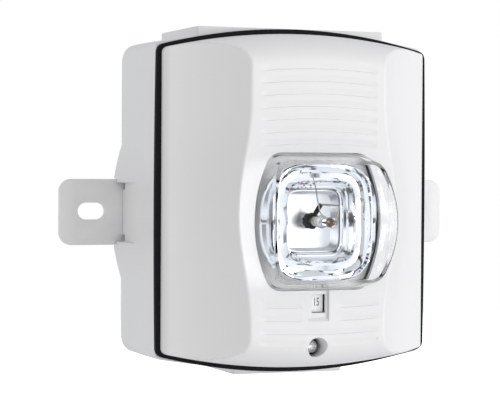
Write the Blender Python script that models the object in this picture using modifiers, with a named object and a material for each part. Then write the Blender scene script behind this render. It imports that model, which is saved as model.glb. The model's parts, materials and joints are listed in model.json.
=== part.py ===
"""Outdoor wall horn strobe: surface back box on two side flanges, with a front unit that swings off.

Everything is drawn in a wall frame, in millimetres: x to the right, y up and z out of the wall, with
the origin at the centre of the wall face.  One empty stands that frame upright, so the wall is the
world plane Y = 0 and the strobe looks along -Y.
"""

import math

import bmesh
import bpy
from mathutils import Matrix, Vector

MM = 0.001
GAP = 0.3                     # space left between neighbouring pieces

# Depths from the wall
BOX_WALL = 2.6
BOX_BACK = 2.8
BOX_FRONT = 45.2
GASKET_BACK = 45.5
GASKET_FRONT = 48.7
RIM = 49.0                    # rear edge of the front housing
PANEL_RISE = 28.4             # front panel above the rim
LENS_RISE = 48.6              # lens face above the rim
PANEL = RIM + PANEL_RISE

# Front housing outline and skin
HALF_W = 59.5
MID_H = 71.0
SIDE_H = 63.8
CORNER_R = 2.0
LIP = 3.0
SKIN = 2.2
SKIN_DEPTH = 2.4
FILLET_R = 5.0
FILLET_SLOPE = 28.0           # degrees, where the rim fillet runs into the wing
ROLL = 13.0                   # depth of the rolled top and bottom edges
PANEL_HALF_W = 29.8
PANEL_BULGE = 5.4
PANEL_BULGE_Y = -4.5
PANEL_BULGE_SPAN = 47.0
EDGE = 0.8

# Back box
BOX_FRONT_W = 61.0
BOX_REAR_W = 63.3
BOX_MID_H = 72.2
BOX_REAR_SIDE_H = 67.4
BOX_FRONT_SIDE_H = 66.6
TOP_BOSS_W = (45.0, 42.7)     # at the wall and at the front
TOP_BOSS_Y = 73.8
BOTTOM_BOSS_W = (27.0, 25.0)
BOTTOM_BOSS_Y = 74.7
TOP_BOSS_FRONT = 44.5
BOTTOM_BOSS_FRONT = 42.5
CONDUIT_R = 13.2              # three-quarter inch conduit thread
CONDUIT_Z = 20.0
KNOCKOUT_R = 10.0
COLLAR_R = 15.4
STANDOFF = (44.0, 50.0)
STANDOFF_TOP = 29.7
STANDOFF_R = 4.5
PILOT_R = 2.05                # bores for the plate screws and the flange screws
GASKET_OUTER = (62.3, 61.8, 73.3, 65.3, 3.0)
GASKET_INNER = (56.2, 56.2, 67.8, 60.6, 2.0)

# Side flanges
FLANGE_REACH = 91.7
FLANGE_THICK = 3.0
FLANGE_Y = -5.8
FLANGE_HALF_H = 14.5
FLANGE_CORNER_R = 5.5
FLANGE_FOOT = 46.0
FLANGE_SCREW_X = 52.0
SWELL_HALF_H = 30.2
SLOT_X = (71.3, 83.6)
SLOT_HALF_H = 3.7

# Lens, reflector and flash tube
LENS_Y = -8.15
LENS_WALL = 1.6
LENS_BASE = (28.1, 21.0, 28.15, 28.15, 5.0)
LENS_FACE = (27.2, 22.6, 25.2, 25.2, 5.0)
LENS_HUB = (0.6, 0.6, 0.6, 0.6, 0.2)
LENS_SAG = 7.8                # the face falls back towards its top and bottom edges
TUBE_R = 2.1
TUBE_BASE = 66.6
TUBE_TIP = 93.0

# Sounder
HORN_Y = 39.5
HORN_R = 17.0

# Captive screw
SCREW_Y = -60.6
SHANK_R = 1.75
PAN_HEAD = (3.4, 2.2)         # radius and height of the larger pan heads
SMALL_HEAD = (2.8, 1.9)
WELL_R = 4.0
WELL_FLOOR = (64.9, 66.9)

# Candela slide switch
CARD_Y = (-46.3, -38.3)
CARD_Z = (72.4, 73.4)
STEM_SLOT = ((-10.6, 9.9), (-43.4, -39.6))

# Mounting plate and its hook line
PLATE_Z = (30.0, 32.5)
HINGE = (0.0, 71.2, 49.0)     # top edge of the front unit, on the gasket
HOOK_X = 34.0
POST = (24.5, 50.0)
DIAL = (27.0, 8.0)
BLADE_X = (-18.0, -6.0, 6.0, 18.0)
BLADE_Y = -26.0


# ---------------------------------------------------------------- scene helpers

def clear_scene():
    for obj in list(bpy.data.objects):
        bpy.data.objects.remove(obj, do_unlink=True)


def new_collection(name):
    group = bpy.data.collections.new(name)
    bpy.context.scene.collection.children.link(group)
    return group


def new_empty(name, location, parent=None):
    empty = bpy.data.objects.new(name, None)
    PARTS.objects.link(empty)
    empty.location = Vector(location) * MM
    if parent is not None:
        empty.parent = parent
        empty.location -= Vector(ORIGINS[parent.name]) * MM
    ORIGINS[name] = location
    return empty


def material(name, colour, roughness, metallic=0.0, alpha=1.0):
    mat = bpy.data.materials.new(name)
    mat.use_nodes = True
    shader = mat.node_tree.nodes["Principled BSDF"]
    shader.inputs["Base Color"].default_value = (*colour, 1.0)
    shader.inputs["Roughness"].default_value = roughness
    shader.inputs["Metallic"].default_value = metallic
    shader.inputs["Alpha"].default_value = alpha
    mat.diffuse_color = (*colour, alpha)
    return mat


def add_object(name, mesh, mat, body):
    """Link a mesh drawn in the wall frame, carried by a body's empty; with no material it is a cutter."""
    obj = bpy.data.objects.new(name, mesh)
    obj.parent = body
    obj.location = Vector(ORIGINS[body.name]) * -MM
    if mat is None:
        CUTTERS.objects.link(obj)
        obj.hide_render = True
        obj.display_type = "WIRE"
    else:
        PARTS.objects.link(obj)
        mesh.materials.clear()
        mesh.materials.append(mat)
    return obj


def finish_mesh(name, bm, mat, body):
    bmesh.ops.scale(bm, vec=(MM, MM, MM), verts=bm.verts)
    bmesh.ops.recalc_face_normals(bm, faces=bm.faces)
    mesh = bpy.data.meshes.new(name)
    bm.to_mesh(mesh)
    bm.free()
    return add_object(name, mesh, mat, body)


def combine(obj, tool, operation="DIFFERENCE"):
    mod = obj.modifiers.new(operation.title(), "BOOLEAN")
    mod.operation = operation
    mod.object = tool
    return obj


def bevel(obj, width, segments=2):
    mod = obj.modifiers.new("Bevel", "BEVEL")
    mod.width = width * MM
    mod.segments = segments
    mod.limit_method = "ANGLE"


# ---------------------------------------------------------------- shape helpers

def block(name, x, y, z, mat, body):
    """A box between the pairs of limits x, y and z."""
    bm = bmesh.new()
    bmesh.ops.create_cube(bm, size=1.0)
    size = Vector((x[1] - x[0], y[1] - y[0], z[1] - z[0]))
    centre = Vector(((x[0] + x[1]) / 2, (y[0] + y[1]) / 2, (z[0] + z[1]) / 2))
    bmesh.ops.scale(bm, vec=size, verts=bm.verts)
    bmesh.ops.translate(bm, vec=centre, verts=bm.verts)
    return finish_mesh(name, bm, mat, body)


def rod(name, radius, start, end, mat, body, segments=24):
    """A cylinder from start to end."""
    axis = Vector(end) - Vector(start)
    turn = Vector((0, 0, 1)).rotation_difference(axis).to_matrix().to_4x4()
    place = Matrix.Translation((Vector(start) + Vector(end)) / 2) @ turn
    bm = bmesh.new()
    bmesh.ops.create_cone(bm, cap_ends=True, segments=segments, radius1=radius, radius2=radius,
                          depth=axis.length, matrix=place)
    return finish_mesh(name, bm, mat, body)


def baked_mesh(guide, flat=False):
    """Turn a guide object (a curve, or a profile with a Screw modifier) into one welded mesh, faces out."""
    bpy.context.view_layer.update()
    graph = bpy.context.evaluated_depsgraph_get()
    mesh = bpy.data.meshes.new_from_object(guide.evaluated_get(graph))
    bpy.data.objects.remove(guide, do_unlink=True)
    bm = bmesh.new()
    bm.from_mesh(mesh)
    bmesh.ops.remove_doubles(bm, verts=bm.verts, dist=0.000001)
    if flat:
        bmesh.ops.dissolve_limit(bm, angle_limit=0.001, verts=bm.verts, edges=bm.edges)
    bmesh.ops.recalc_face_normals(bm, faces=bm.faces)
    bm.to_mesh(mesh)
    bm.free()
    return mesh


def moved(mesh, matrix):
    mesh.transform(matrix)
    return mesh


def turned(name, profile, centre, mat, body, steps=24, closed=False, tilt=0.0):
    """A lathe shape about the wall normal, or about an axis tilted from it; profile is (radius, z)."""
    mesh = bpy.data.meshes.new(name)
    last = len(profile) - 1
    edges = [(i, i + 1) for i in range(last)]
    if closed:
        edges.append((last, 0))
    mesh.from_pydata([(radius * MM, 0.0, height * MM) for radius, height in profile], edges, [])
    guide = bpy.data.objects.new(name + "_profile", mesh)
    CUTTERS.objects.link(guide)
    mod = guide.modifiers.new("Turn", "SCREW")
    mod.steps = steps
    mod.render_steps = steps
    mod.use_merge_vertices = True
    mod.merge_threshold = 0.00001
    place = Matrix.Translation(Vector(centre) * MM) @ Matrix.Rotation(tilt, 4, "X")
    return add_object(name, moved(baked_mesh(guide), place), mat, body)


def curve_guide(name, dimensions, paths, cyclic):
    """A curve of straight runs through the given points."""
    curve = bpy.data.curves.new(name, "CURVE")
    curve.dimensions = dimensions
    for path in paths:
        spline = curve.splines.new("POLY")
        spline.points.add(len(path) - 1)
        spline.use_cyclic_u = cyclic
        for point, place in zip(spline.points, path):
            point.co = (*(Vector(place).to_3d() * MM), 1.0)
    guide = bpy.data.objects.new(name + "_guide", curve)
    CUTTERS.objects.link(guide)
    return guide


def plate(name, loops, z, mat, body):
    """A flat outline with holes, filled and extruded between two depths."""
    guide = curve_guide(name, "2D", loops, True)
    guide.data.fill_mode = "BOTH"
    guide.data.extrude = (z[1] - z[0]) / 2 * MM
    lift = Matrix.Translation((0.0, 0.0, (z[0] + z[1]) / 2 * MM))
    add_object(name, moved(baked_mesh(guide, flat=True), lift), mat, body)


def wire(name, points, radius, mat, body):
    """A round wire along straight runs, with filled ends, as one closed mesh."""
    guide = curve_guide(name, "3D", [points], False)
    guide.data.bevel_depth = radius * MM
    guide.data.bevel_resolution = 2
    guide.data.use_fill_caps = True
    add_object(name, baked_mesh(guide), mat, body)


def loft(name, rings, mat, body):
    """Skin equal rings of (x, y, z) points in order and close both ends."""
    bm = bmesh.new()
    levels = [[bm.verts.new(point) for point in ring] for ring in rings]
    count = len(levels[0])
    for low, high in zip(levels, levels[1:]):
        for i in range(count):
            j = (i + 1) % count
            bm.faces.new((low[i], low[j], high[j], high[i]))
    bmesh.ops.triangulate(bm, faces=bm.faces)
    bm.faces.new(levels[0])
    bm.faces.new(levels[-1])
    return finish_mesh(name, bm, mat, body)


def prism(name, outline, z, mat, body):
    """A flat outline extruded between two depths."""
    return loft(name, [at(outline, z[0]), at(outline, z[1])], mat, body)


def circle(centre, radius, count=20):
    turns = [2 * math.pi * i / count for i in range(count)]
    return [(centre[0] + radius * math.cos(a), centre[1] + radius * math.sin(a)) for a in turns]


def rectangle(x, y):
    return [(x[0], y[0]), (x[1], y[0]), (x[1], y[1]), (x[0], y[1])]


def bulged(w_mid, w_end, h_mid, h_end, corner, centre=(0.0, 0.0), steps=8, corner_steps=4):
    """A rounded rectangle whose sides and ends may bulge, given half sizes at the middle and the corner."""

    def side(y):
        return w_mid - (w_mid - w_end) * (y / h_end) ** 2

    def end(x):
        return h_mid - (h_mid - h_end) * (x / w_end) ** 2

    quarter = [(side(y), y) for y in (i / (steps / 2) * (h_end - corner) for i in range(steps // 2 + 1))]
    start = Vector(quarter[-1])
    stop = Vector((w_end - corner, end(w_end - corner)))
    knee = Vector((w_end, h_end))
    for i in range(1, corner_steps):
        t = i / corner_steps
        quarter.append(tuple(start * (1 - t) ** 2 + knee * 2 * t * (1 - t) + stop * t * t))
    for i in range(steps // 2 + 1):
        x = (w_end - corner) * (1 - i / (steps / 2))
        quarter.append((x, end(x)))
    upper = quarter + [(-x, y) for x, y in reversed(quarter[:-1])]
    whole = upper + [(x, -y) for x, y in reversed(upper[1:-1])]
    return [(x + centre[0], y + centre[1]) for x, y in whole]


def at(outline, z):
    return [(x, y, z) for x, y in outline]


def grown(spec, amount):
    """The same bulged outline, moved outwards by an amount."""
    return tuple(value + amount for value in spec)


def blend(a, b, share):
    return tuple(p + (q - p) * share for p, q in zip(a, b))


# ---------------------------------------------------------------- front housing surface

def half_height(x):
    """Half height of the housing outline at x, with its rounded corners."""
    arch = MID_H - (MID_H - SIDE_H) * (x / HALF_W) ** 2
    past = max(0.0, abs(x) - (HALF_W - CORNER_R))
    return arch - CORNER_R + math.sqrt(max(0.0, CORNER_R ** 2 - past ** 2))


def panel_half_width(y):
    """The raised panel is widest beside the lens."""
    share = (y - PANEL_BULGE_Y) / PANEL_BULGE_SPAN
    if abs(share) >= 1.0:
        return PANEL_HALF_W
    return PANEL_HALF_W + PANEL_BULGE * math.cos(math.pi / 2 * share) ** 2


def wing_rise(x, y):
    """Rim fillet, then a hollow slope that steepens up to the edge of the panel."""
    inset = HALF_W - abs(x)
    slope = math.tan(math.radians(FILLET_SLOPE))
    fillet_end = FILLET_R * (1 - math.sin(math.radians(FILLET_SLOPE)))
    if inset <= fillet_end:
        return LIP + math.sqrt(max(0.0, FILLET_R ** 2 - (FILLET_R - inset) ** 2))
    fillet_top = LIP + FILLET_R * math.cos(math.radians(FILLET_SLOPE))
    run = HALF_W - panel_half_width(y) - fillet_end
    curve = (PANEL_RISE - fillet_top - slope * run) / run ** 2
    along = min(inset - fillet_end, run)
    return fillet_top + slope * along + curve * along ** 2


def roll_rise(inset):
    """Quarter-ellipse roll of the top and bottom edges."""
    share = max(0.0, 1 - inset / ROLL)
    return LIP + (PANEL_RISE - LIP) * math.sqrt(1 - share ** 2)


def housing_rise(x, y, inset):
    return min(wing_rise(x, y), roll_rise(inset))


def housing_grid():
    """Columns follow the edge of the panel and rows follow the arched outline."""
    fillet_end = FILLET_R * (1 - math.sin(math.radians(FILLET_SLOPE)))
    insets = [0.0, 0.25, 0.9, 2.0, 3.7, 5.8, 8.8, ROLL]
    middle = [i / 7 - 1 for i in range(1, 14)]
    rim_steps = [0.0, 0.3, 0.9, 1.7, fillet_end]
    wing_steps = [0.22, 0.44, 0.64, 0.83, 1.0]
    rows = [(-1, inset, 0.0) for inset in insets]
    rows += [(0, 0.0, share) for share in middle]
    rows += [(1, inset, 0.0) for inset in reversed(insets)]
    grid = []
    for side, inset, share in rows:
        level = []
        rough_y = side * (MID_H - inset) if side else share * (MID_H - ROLL)
        edge = HALF_W - panel_half_width(rough_y)
        across = rim_steps + [fillet_end + (edge - fillet_end) * s for s in wing_steps]
        half = [HALF_W - step for step in across]
        inner = HALF_W - edge - EDGE
        half += [inner, inner * 0.5]
        for x in half + [0.0] + [-value for value in reversed(half)]:
            tall = half_height(x)
            y = side * (tall - inset) if side else share * (tall - ROLL)
            margin = tall - abs(y)
            rise = housing_rise(x, y, margin)
            level.append((x, y, RIM + rise))
        grid.append(level)
    return grid


def grid_border(grid):
    """Index pairs round the edge of the grid, in order."""
    rows = len(grid)
    cols = len(grid[0])
    path = [(0, c) for c in range(cols)]
    path += [(r, cols - 1) for r in range(1, rows)]
    path += [(rows - 1, c) for c in range(cols - 2, -1, -1)]
    path += [(r, 0) for r in range(rows - 2, 0, -1)]
    return path


def add_grid(bm, grid):
    verts = [[bm.verts.new(point) for point in level] for level in grid]
    for low, high in zip(verts, verts[1:]):
        for c in range(len(low) - 1):
            bm.faces.new((low[c], low[c + 1], high[c + 1], high[c]))
    return verts


def add_skirt(bm, tops, grid, path):
    """Vertical wall from the border of a grid down to the rim plane."""
    feet = [bm.verts.new((*grid[r][c][:2], RIM)) for r, c in path]
    for i in range(len(path)):
        j = (i + 1) % len(path)
        bm.faces.new((tops[path[i][0]][path[i][1]], tops[path[j][0]][path[j][1]], feet[j], feet[i]))
    return feet


def housing_shell(name, mat, body):
    """Outer and inner skins joined round the rim."""
    outer = housing_grid()
    shrink_x = 1 - SKIN / HALF_W
    shrink_y = 1 - SKIN / MID_H
    inner = [[(x * shrink_x, y * shrink_y, z - SKIN_DEPTH) for x, y, z in level] for level in outer]
    path = grid_border(outer)
    bm = bmesh.new()
    outer_feet = add_skirt(bm, add_grid(bm, outer), outer, path)
    inner_feet = add_skirt(bm, add_grid(bm, inner), inner, path)
    for i in range(len(path)):
        j = (i + 1) % len(path)
        bm.faces.new((outer_feet[i], outer_feet[j], inner_feet[j], inner_feet[i]))
    return finish_mesh(name, bm, mat, body)


def housing_envelope(name, body):
    """Solid just inside the outer skin, used to trim bosses that meet the curved skin."""
    sunk = [[(x * 0.995, y * 0.995, z - 0.6) for x, y, z in level] for level in housing_grid()]
    path = grid_border(sunk)
    bm = bmesh.new()
    feet = add_skirt(bm, add_grid(bm, sunk), sunk, path)
    bm.faces.new(feet)
    return finish_mesh(name, bm, None, body)


# ---------------------------------------------------------------- fasteners

def cross_recess(name, centre, z, span, body):
    """Plus-shaped driver recess that opens towards larger z when z runs upwards."""
    arm = span / 2
    slim = span * 0.16
    loop = [(arm, -slim), (arm, slim), (slim, slim), (slim, arm), (-slim, arm), (-slim, slim),
            (-arm, slim), (-arm, -slim), (-slim, -slim), (-slim, -arm), (slim, -arm), (slim, -slim)]
    placed = [(x + centre[0], y + centre[1]) for x, y in loop]
    return prism(name, placed, z, None, body)


def pan_screw(name, centre, head_base, head, shank, length, mat, body, out=1):
    """Pan-head screw; out is +1 when its head looks away from the wall and -1 when it looks at the wall."""
    top = head_base + out * head[1]
    tip = head_base - out * length
    profile = [(0.0, top), (head[0] * 0.7, top), (head[0], head_base + out * head[1] * 0.45),
               (head[0], head_base), (shank, head_base), (shank, tip + out * shank * 0.6),
               (shank * 0.5, tip), (0.0, tip)]
    screw = turned(name, profile, (*centre, 0.0), mat, body, steps=10)
    depth = sorted((top + out * 1.0, top - out * head[1] * 0.6))
    combine(screw, cross_recess(name + "_recess", centre, depth, head[0] * 1.25, body))


# ---------------------------------------------------------------- back box and what stays on the wall

def box_ring(z, share, inset=0.0):
    """Outline of the box; share runs from 0 at the wall to 1 at the front."""
    width = BOX_REAR_W + (BOX_FRONT_W - BOX_REAR_W) * share - inset
    side_h = BOX_REAR_SIDE_H + (BOX_FRONT_SIDE_H - BOX_REAR_SIDE_H) * share - inset
    corner = 7.5 - 5.0 * share
    return at(bulged(width, width, BOX_MID_H - inset, side_h, corner), z)


def boss(name, half_w, y, front):
    """Conduit boss that narrows from the wall to the front; y is its outer face."""
    root = math.copysign(BOX_REAR_SIDE_H - 9.0, y)
    rings = [at(rectangle((-w, w), sorted((root, y))), z) for w, z in zip(half_w, (0.0, front))]
    return loft(name, rings, None, WALL)


def side_swell(side):
    """Swelling of the box beside a flange, notched so that the flange can pass."""
    rings = []
    for centre, bulk, z in ((62.0, 5.0, 0.3), (62.1, 5.5, 1.2), (61.6, 4.2, 12.6), (60.6, 1.0, 33.0)):
        outline = bulged(bulk, 0.8, SWELL_HALF_H, SWELL_HALF_H, 0.4, (side * centre, FLANGE_Y), 6, 2)
        rings.append(at(outline, z))
    hump = loft("side_swell", rings, None, WALL)
    across = sorted((side * BOX_REAR_W, side * 78.0))
    notch = block("swell_notch", across, (FLANGE_Y - 13.0, FLANGE_Y + 13.0), (-2.0, 40.0), None, WALL)
    return combine(hump, notch)


def add_conduit_entry(box, y):
    """Thickened collar, thread bore and knock-out neck behind the outer face at y."""
    sign = math.copysign(1.0, y)
    collar = rod("collar", COLLAR_R, (0, sign * 66.0, CONDUIT_Z), (0, y - sign, CONDUIT_Z), None, WALL, 24)
    combine(box, collar, "UNION")
    bore = rod("conduit_bore", CONDUIT_R, (0, sign * 68.2, CONDUIT_Z), (0, y + 3.0 * sign, CONDUIT_Z),
               None, WALL, 24)
    combine(box, bore)
    neck = rod("conduit_neck", KNOCKOUT_R, (0, sign * 60.0, CONDUIT_Z), (0, sign * 70.0, CONDUIT_Z),
               None, WALL, 20)
    combine(box, neck)


def add_standoff(box, place):
    post = rod("standoff", STANDOFF_R, (*place, 2.0), (*place, STANDOFF_TOP), None, WALL, 14)
    combine(box, post, "UNION")
    combine(box, rod("standoff_bore", PILOT_R, (*place, 12.0), (*place, 34.0), None, WALL, 12))


def add_flange_seat(box, side):
    """Pad, pocket, relief slots and screw bore for the foot of one flange."""
    low = FLANGE_Y - FLANGE_HALF_H
    high = FLANGE_Y + FLANGE_HALF_H
    pad = block("flange_pad", sorted((side * 43.0, side * 60.0)), (low - 1.5, high + 1.5), (2.0, 6.0),
                None, WALL)
    combine(box, pad, "UNION")
    pocket = block("flange_pocket", sorted((side * 45.0, side * 75.0)), (low - GAP, high + GAP),
                   (-1.0, FLANGE_THICK + GAP), None, WALL)
    combine(box, pocket)
    for edge in ((low + 1.9, low + 4.5), (high - 4.5, high - 1.9)):
        across = sorted((side * 56.0, side * 70.0))
        combine(box, block("bend_relief", across, edge, (2.3, 6.7), None, WALL))
    place = (side * FLANGE_SCREW_X, FLANGE_Y)
    combine(box, rod("flange_screw_bore", PILOT_R, (*place, 1.0), (*place, 9.0), None, WALL, 12))


def build_back_box():
    levels = ((0.0, 0.0, 0.8), (0.8, 0.0, 0.0), (12.0, 0.25, 0.0), (28.0, 0.62, 0.0), (BOX_FRONT, 1.0, 0.0))
    box = loft("back_box", [box_ring(*level) for level in levels], MATS["box_white"], WALL)
    combine(box, boss("top_boss", TOP_BOSS_W, TOP_BOSS_Y, TOP_BOSS_FRONT), "UNION")
    combine(box, boss("bottom_boss", BOTTOM_BOSS_W, -BOTTOM_BOSS_Y, BOTTOM_BOSS_FRONT), "UNION")
    for side in (-1, 1):
        combine(box, side_swell(side), "UNION")
    inside = ((BOX_BACK, 0.06), (28.0, 0.62), (BOX_FRONT, 1.0), (60.0, 1.0))
    combine(box, loft("box_hollow", [box_ring(z, share, BOX_WALL) for z, share in inside], None, WALL))
    add_conduit_entry(box, TOP_BOSS_Y)
    add_conduit_entry(box, -BOTTOM_BOSS_Y)
    for sx in (-1, 1):
        for sy in (-1, 1):
            add_standoff(box, (sx * STANDOFF[0], sy * STANDOFF[1]))
        add_flange_seat(box, sx)


def build_flange(side):
    """Steel strap: its foot lies in a pocket of the box's back and its slot takes the wall screw."""
    low = FLANGE_Y - FLANGE_HALF_H
    high = FLANGE_Y + FLANGE_HALF_H
    corner = FLANGE_CORNER_R
    outline = [(FLANGE_FOOT, low), (FLANGE_REACH - corner, low)]
    for start, cy in ((-90, low + corner), (0, high - corner)):
        for i in range(7):
            a = math.radians(start + 15 * i)
            outline.append((FLANGE_REACH - corner + corner * math.cos(a), cy + corner * math.sin(a)))
    outline.append((FLANGE_FOOT, high))
    slot = []
    for start, cx in ((-90, SLOT_X[1] - SLOT_HALF_H), (90, SLOT_X[0] + SLOT_HALF_H)):
        for i in range(9):
            a = math.radians(start + 22.5 * i)
            slot.append((cx + SLOT_HALF_H * math.cos(a), FLANGE_Y + 0.4 + SLOT_HALF_H * math.sin(a)))
    hole = circle((FLANGE_SCREW_X, FLANGE_Y), PILOT_R, 16)
    loops = [[(side * x, y) for x, y in loop] for loop in (outline, slot, hole)]
    label = "right" if side > 0 else "left"
    plate("mounting_flange_" + label, loops, (0.0, FLANGE_THICK), MATS["flange_paint"], WALL)
    pan_screw("flange_screw_" + label, (side * FLANGE_SCREW_X, FLANGE_Y), 6.3, PAN_HEAD, SHANK_R, 5.8,
              MATS["zinc_steel"], WALL)


def build_conduit_plug(label, outer, sign):
    """Threaded plug with a hexagon socket, drawn up on a flat sealing washer."""
    centre = (0.0, 0.0, CONDUIT_Z)
    tilt = sign * -math.pi / 2
    plug = turned("conduit_plug_" + label, [(0, outer - 0.5), (12.2, outer - 0.5), (12.8, outer - 1.1),
                                            (12.8, 69.9), (12.2, 69.6), (0, 69.6)],
                  centre, MATS["plug_plastic"], WALL, steps=24, tilt=tilt)
    combine(plug, rod("plug_socket", 5.5, (0, sign * (outer - 3.6), CONDUIT_Z), (0, sign * 80.0, CONDUIT_Z),
                      None, WALL, 6))
    turned("plug_seal_" + label, [(10.6, 69.3), (12.7, 69.3), (12.7, 68.5), (10.6, 68.5)], centre,
           MATS["black_rubber"], WALL, steps=24, closed=True, tilt=tilt)


def build_gasket():
    outer = bulged(*GASKET_OUTER, steps=12)
    inner = bulged(*GASKET_INNER, steps=12)
    plate("housing_gasket", [outer, inner], (GASKET_BACK, GASKET_FRONT), MATS["black_rubber"], WALL)


def build_mounting_plate():
    white = MATS["unit_white"]
    wide, tall = 52.0, 60.0
    tab = (HOOK_X - 4.5, HOOK_X + 4.5)
    outline = [(-wide, -tall), (-6.0, -tall), (-6.0, -65.7), (6.0, -65.7), (6.0, -tall), (wide, -tall),
               (wide, tall), (tab[1], tall), (tab[1], 65.8), (tab[0], 65.8), (tab[0], tall),
               (-tab[0], tall), (-tab[0], 65.8), (-tab[1], 65.8), (-tab[1], tall), (-wide, tall)]
    base = prism("mounting_plate", outline, PLATE_Z, white, WALL)
    combine(base, block("wiring_window", (-20.0, 20.0), (2.0, 30.0), (25.0, 40.0), None, WALL))
    for sx in (-1, 1):
        leg = sorted((sx * (HOOK_X - 4.2), sx * (HOOK_X + 4.2)))
        lip = sorted((sx * (HOOK_X - 4.0), sx * (HOOK_X + 4.0)))
        combine(base, block("keeper_leg", leg, (64.0, 65.6), (31.0, 41.2), None, WALL), "UNION")
        combine(base, block("keeper_lip", lip, (60.8, 65.0), (39.2, 41.0), None, WALL), "UNION")
    combine(base, rod("screw_post", 4.6, (0, SCREW_Y, 31.0), (0, SCREW_Y, 39.5), None, WALL), "UNION")
    combine(base, rod("screw_post_bore", 2.3, (0, SCREW_Y, 25.0), (0, SCREW_Y, 45.0), None, WALL, 12))
    corners = [(sx * STANDOFF[0], sy * STANDOFF[1]) for sx in (-1, 1) for sy in (-1, 1)]
    for index, place in enumerate(corners, 1):
        combine(base, rod("plate_screw_bore", 2.1, (*place, 25.0), (*place, 40.0), None, WALL, 12))
        pan_screw(f"plate_screw_{index}", place, 32.8, PAN_HEAD, SHANK_R, 16.0, MATS["zinc_steel"], WALL)
    clip = [rectangle((-4.5, 4.5), (-65.2, -56.4)), circle((0.0, SCREW_Y), 2.25, 16)]
    plate("nut_clip", clip, (39.8, 40.6), MATS["spring_steel"], WALL)


def build_terminals():
    """Wiring terminals on the mounting plate; the front unit's blades push into the slots."""
    house = block("terminal_block", (-26.0, 26.0), (-31.0, -13.0), (32.8, 41.0), MATS["terminal_plastic"],
                  WALL)
    combine(house, block("terminal_step", (-30.0, 30.0), (-22.0, -10.0), (38.0, 45.0), None, WALL))
    for index, x in enumerate(BLADE_X, 1):
        combine(house, block("blade_slot", (x - 1.0, x + 1.0), (BLADE_Y - 2.4, BLADE_Y + 2.4), (36.4, 45.0),
                             None, WALL))
        combine(house, rod("terminal_bore", 1.8, (x, -17.5, 33.6), (x, -17.5, 45.0), None, WALL, 12))
        pan_screw(f"terminal_screw_{index}", (x, -17.5), 38.3, (2.8, 2.0), 1.4, 4.2, MATS["brass"], WALL)
    path = [(-13.0, 33.1), (-9.5, 33.1), (-7.0, 39.4), (7.0, 39.4), (9.5, 33.1), (13.0, 33.1)]
    thick = 0.5
    loop = path + [(x, z + thick) for x, z in reversed(path)]
    rings = [[(x, y, z) for x, z in loop] for y in (-9.0, -3.5)]
    loft("shorting_spring", rings, MATS["spring_steel"], WALL)


# ---------------------------------------------------------------- front unit

def build_housing():
    housing = housing_shell("front_housing", MATS["unit_white"], UNIT)
    well = rod("screw_well", WELL_R + 1.6, (0, SCREW_Y, WELL_FLOOR[0]), (0, SCREW_Y, 85.0), None, UNIT, 24)
    combine(well, housing_envelope("well_trim", UNIT), "INTERSECT")
    combine(housing, well, "UNION")
    for sx in (-1, 1):
        for sy in (-1, 1):
            place = (sx * POST[0], sy * POST[1])
            post = rod("cover_post", 3.2, (*place, 46.3), (*place, 75.6), None, UNIT, 12)
            combine(housing, post, "UNION")
            combine(housing, rod("cover_post_bore", 1.6, (*place, 40.0), (*place, 60.0), None, UNIT, 10))
    opening = [at(bulged(*grown(LENS_BASE, GAP), (0, LENS_Y), 6, 3), z) for z in (70.0, 90.0)]
    combine(housing, loft("lens_opening", opening, None, UNIT))
    frame = block("window_frame", (-4.7, 4.7), (-49.5, -36.9), (PANEL - 1.2, 90.0), None, UNIT)
    view = block("window_opening", (-3.0, 2.6), (-46.0, CARD_Y[1]), (70.0, 90.0), None, UNIT)
    combine(housing, frame)
    combine(housing, view)
    well_bore = rod("well_bore", WELL_R, (0, SCREW_Y, WELL_FLOOR[1]), (0, SCREW_Y, 90.0), None, UNIT, 24)
    combine(housing, well_bore)
    combine(housing, rod("shank_bore", 2.15, (0, SCREW_Y, 60.0), (0, SCREW_Y, 70.0), None, UNIT, 12))


def crowned(point):
    """Lower a point of the lens so that its face is arched from top to bottom."""
    x, y, z = point
    share = min(1.0, max(0.0, (z - PANEL) / (LENS_RISE - PANEL_RISE)))
    return (x, y, z - LENS_SAG * share * ((y - LENS_Y) / LENS_FACE[2]) ** 2)


def lens_skin(inset):
    """Outlines and heights of one side of the lens wall, from the panel to the middle of the face."""
    waist = blend(LENS_BASE, LENS_FACE, 0.55)
    top = RIM + LENS_RISE - inset
    levels = [(LENS_BASE, PANEL), (waist, RIM + 38.5), (LENS_FACE, top - 2.4)]
    skin = [(grown(spec, -inset), z) for spec, z in levels]
    edge = grown(LENS_FACE, -inset)
    return skin + [(grown(edge, -0.6), top - 0.8), (grown(edge, -1.4), top),
                   (blend(edge, LENS_HUB, 0.45), top), (blend(edge, LENS_HUB, 0.8), top), (LENS_HUB, top)]


def build_lens():
    """Clear cover: a bulged foot that rises to an arched face, with a flange clamped behind the panel."""
    flange = grown(LENS_BASE, 1.6)
    foot = [(flange, 72.3), (flange, 73.8), (LENS_BASE, 73.8)]
    inner_foot = [(grown(LENS_BASE, -LENS_WALL), 72.3)]
    specs = list(reversed(inner_foot + lens_skin(LENS_WALL))) + foot + lens_skin(0.0)
    rings = [[crowned(point) for point in at(bulged(*spec, (0, LENS_Y), 8, 3), z)] for spec, z in specs]
    loft("lens", rings, MATS["clear_lens"], UNIT)
    seal = [bulged(*grown(LENS_BASE, amount), (0, LENS_Y), 6, 3) for amount in (1.5, 0.35)]
    plate("lens_seal", seal, (74.1, 74.7), MATS["black_rubber"], UNIT)


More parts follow.
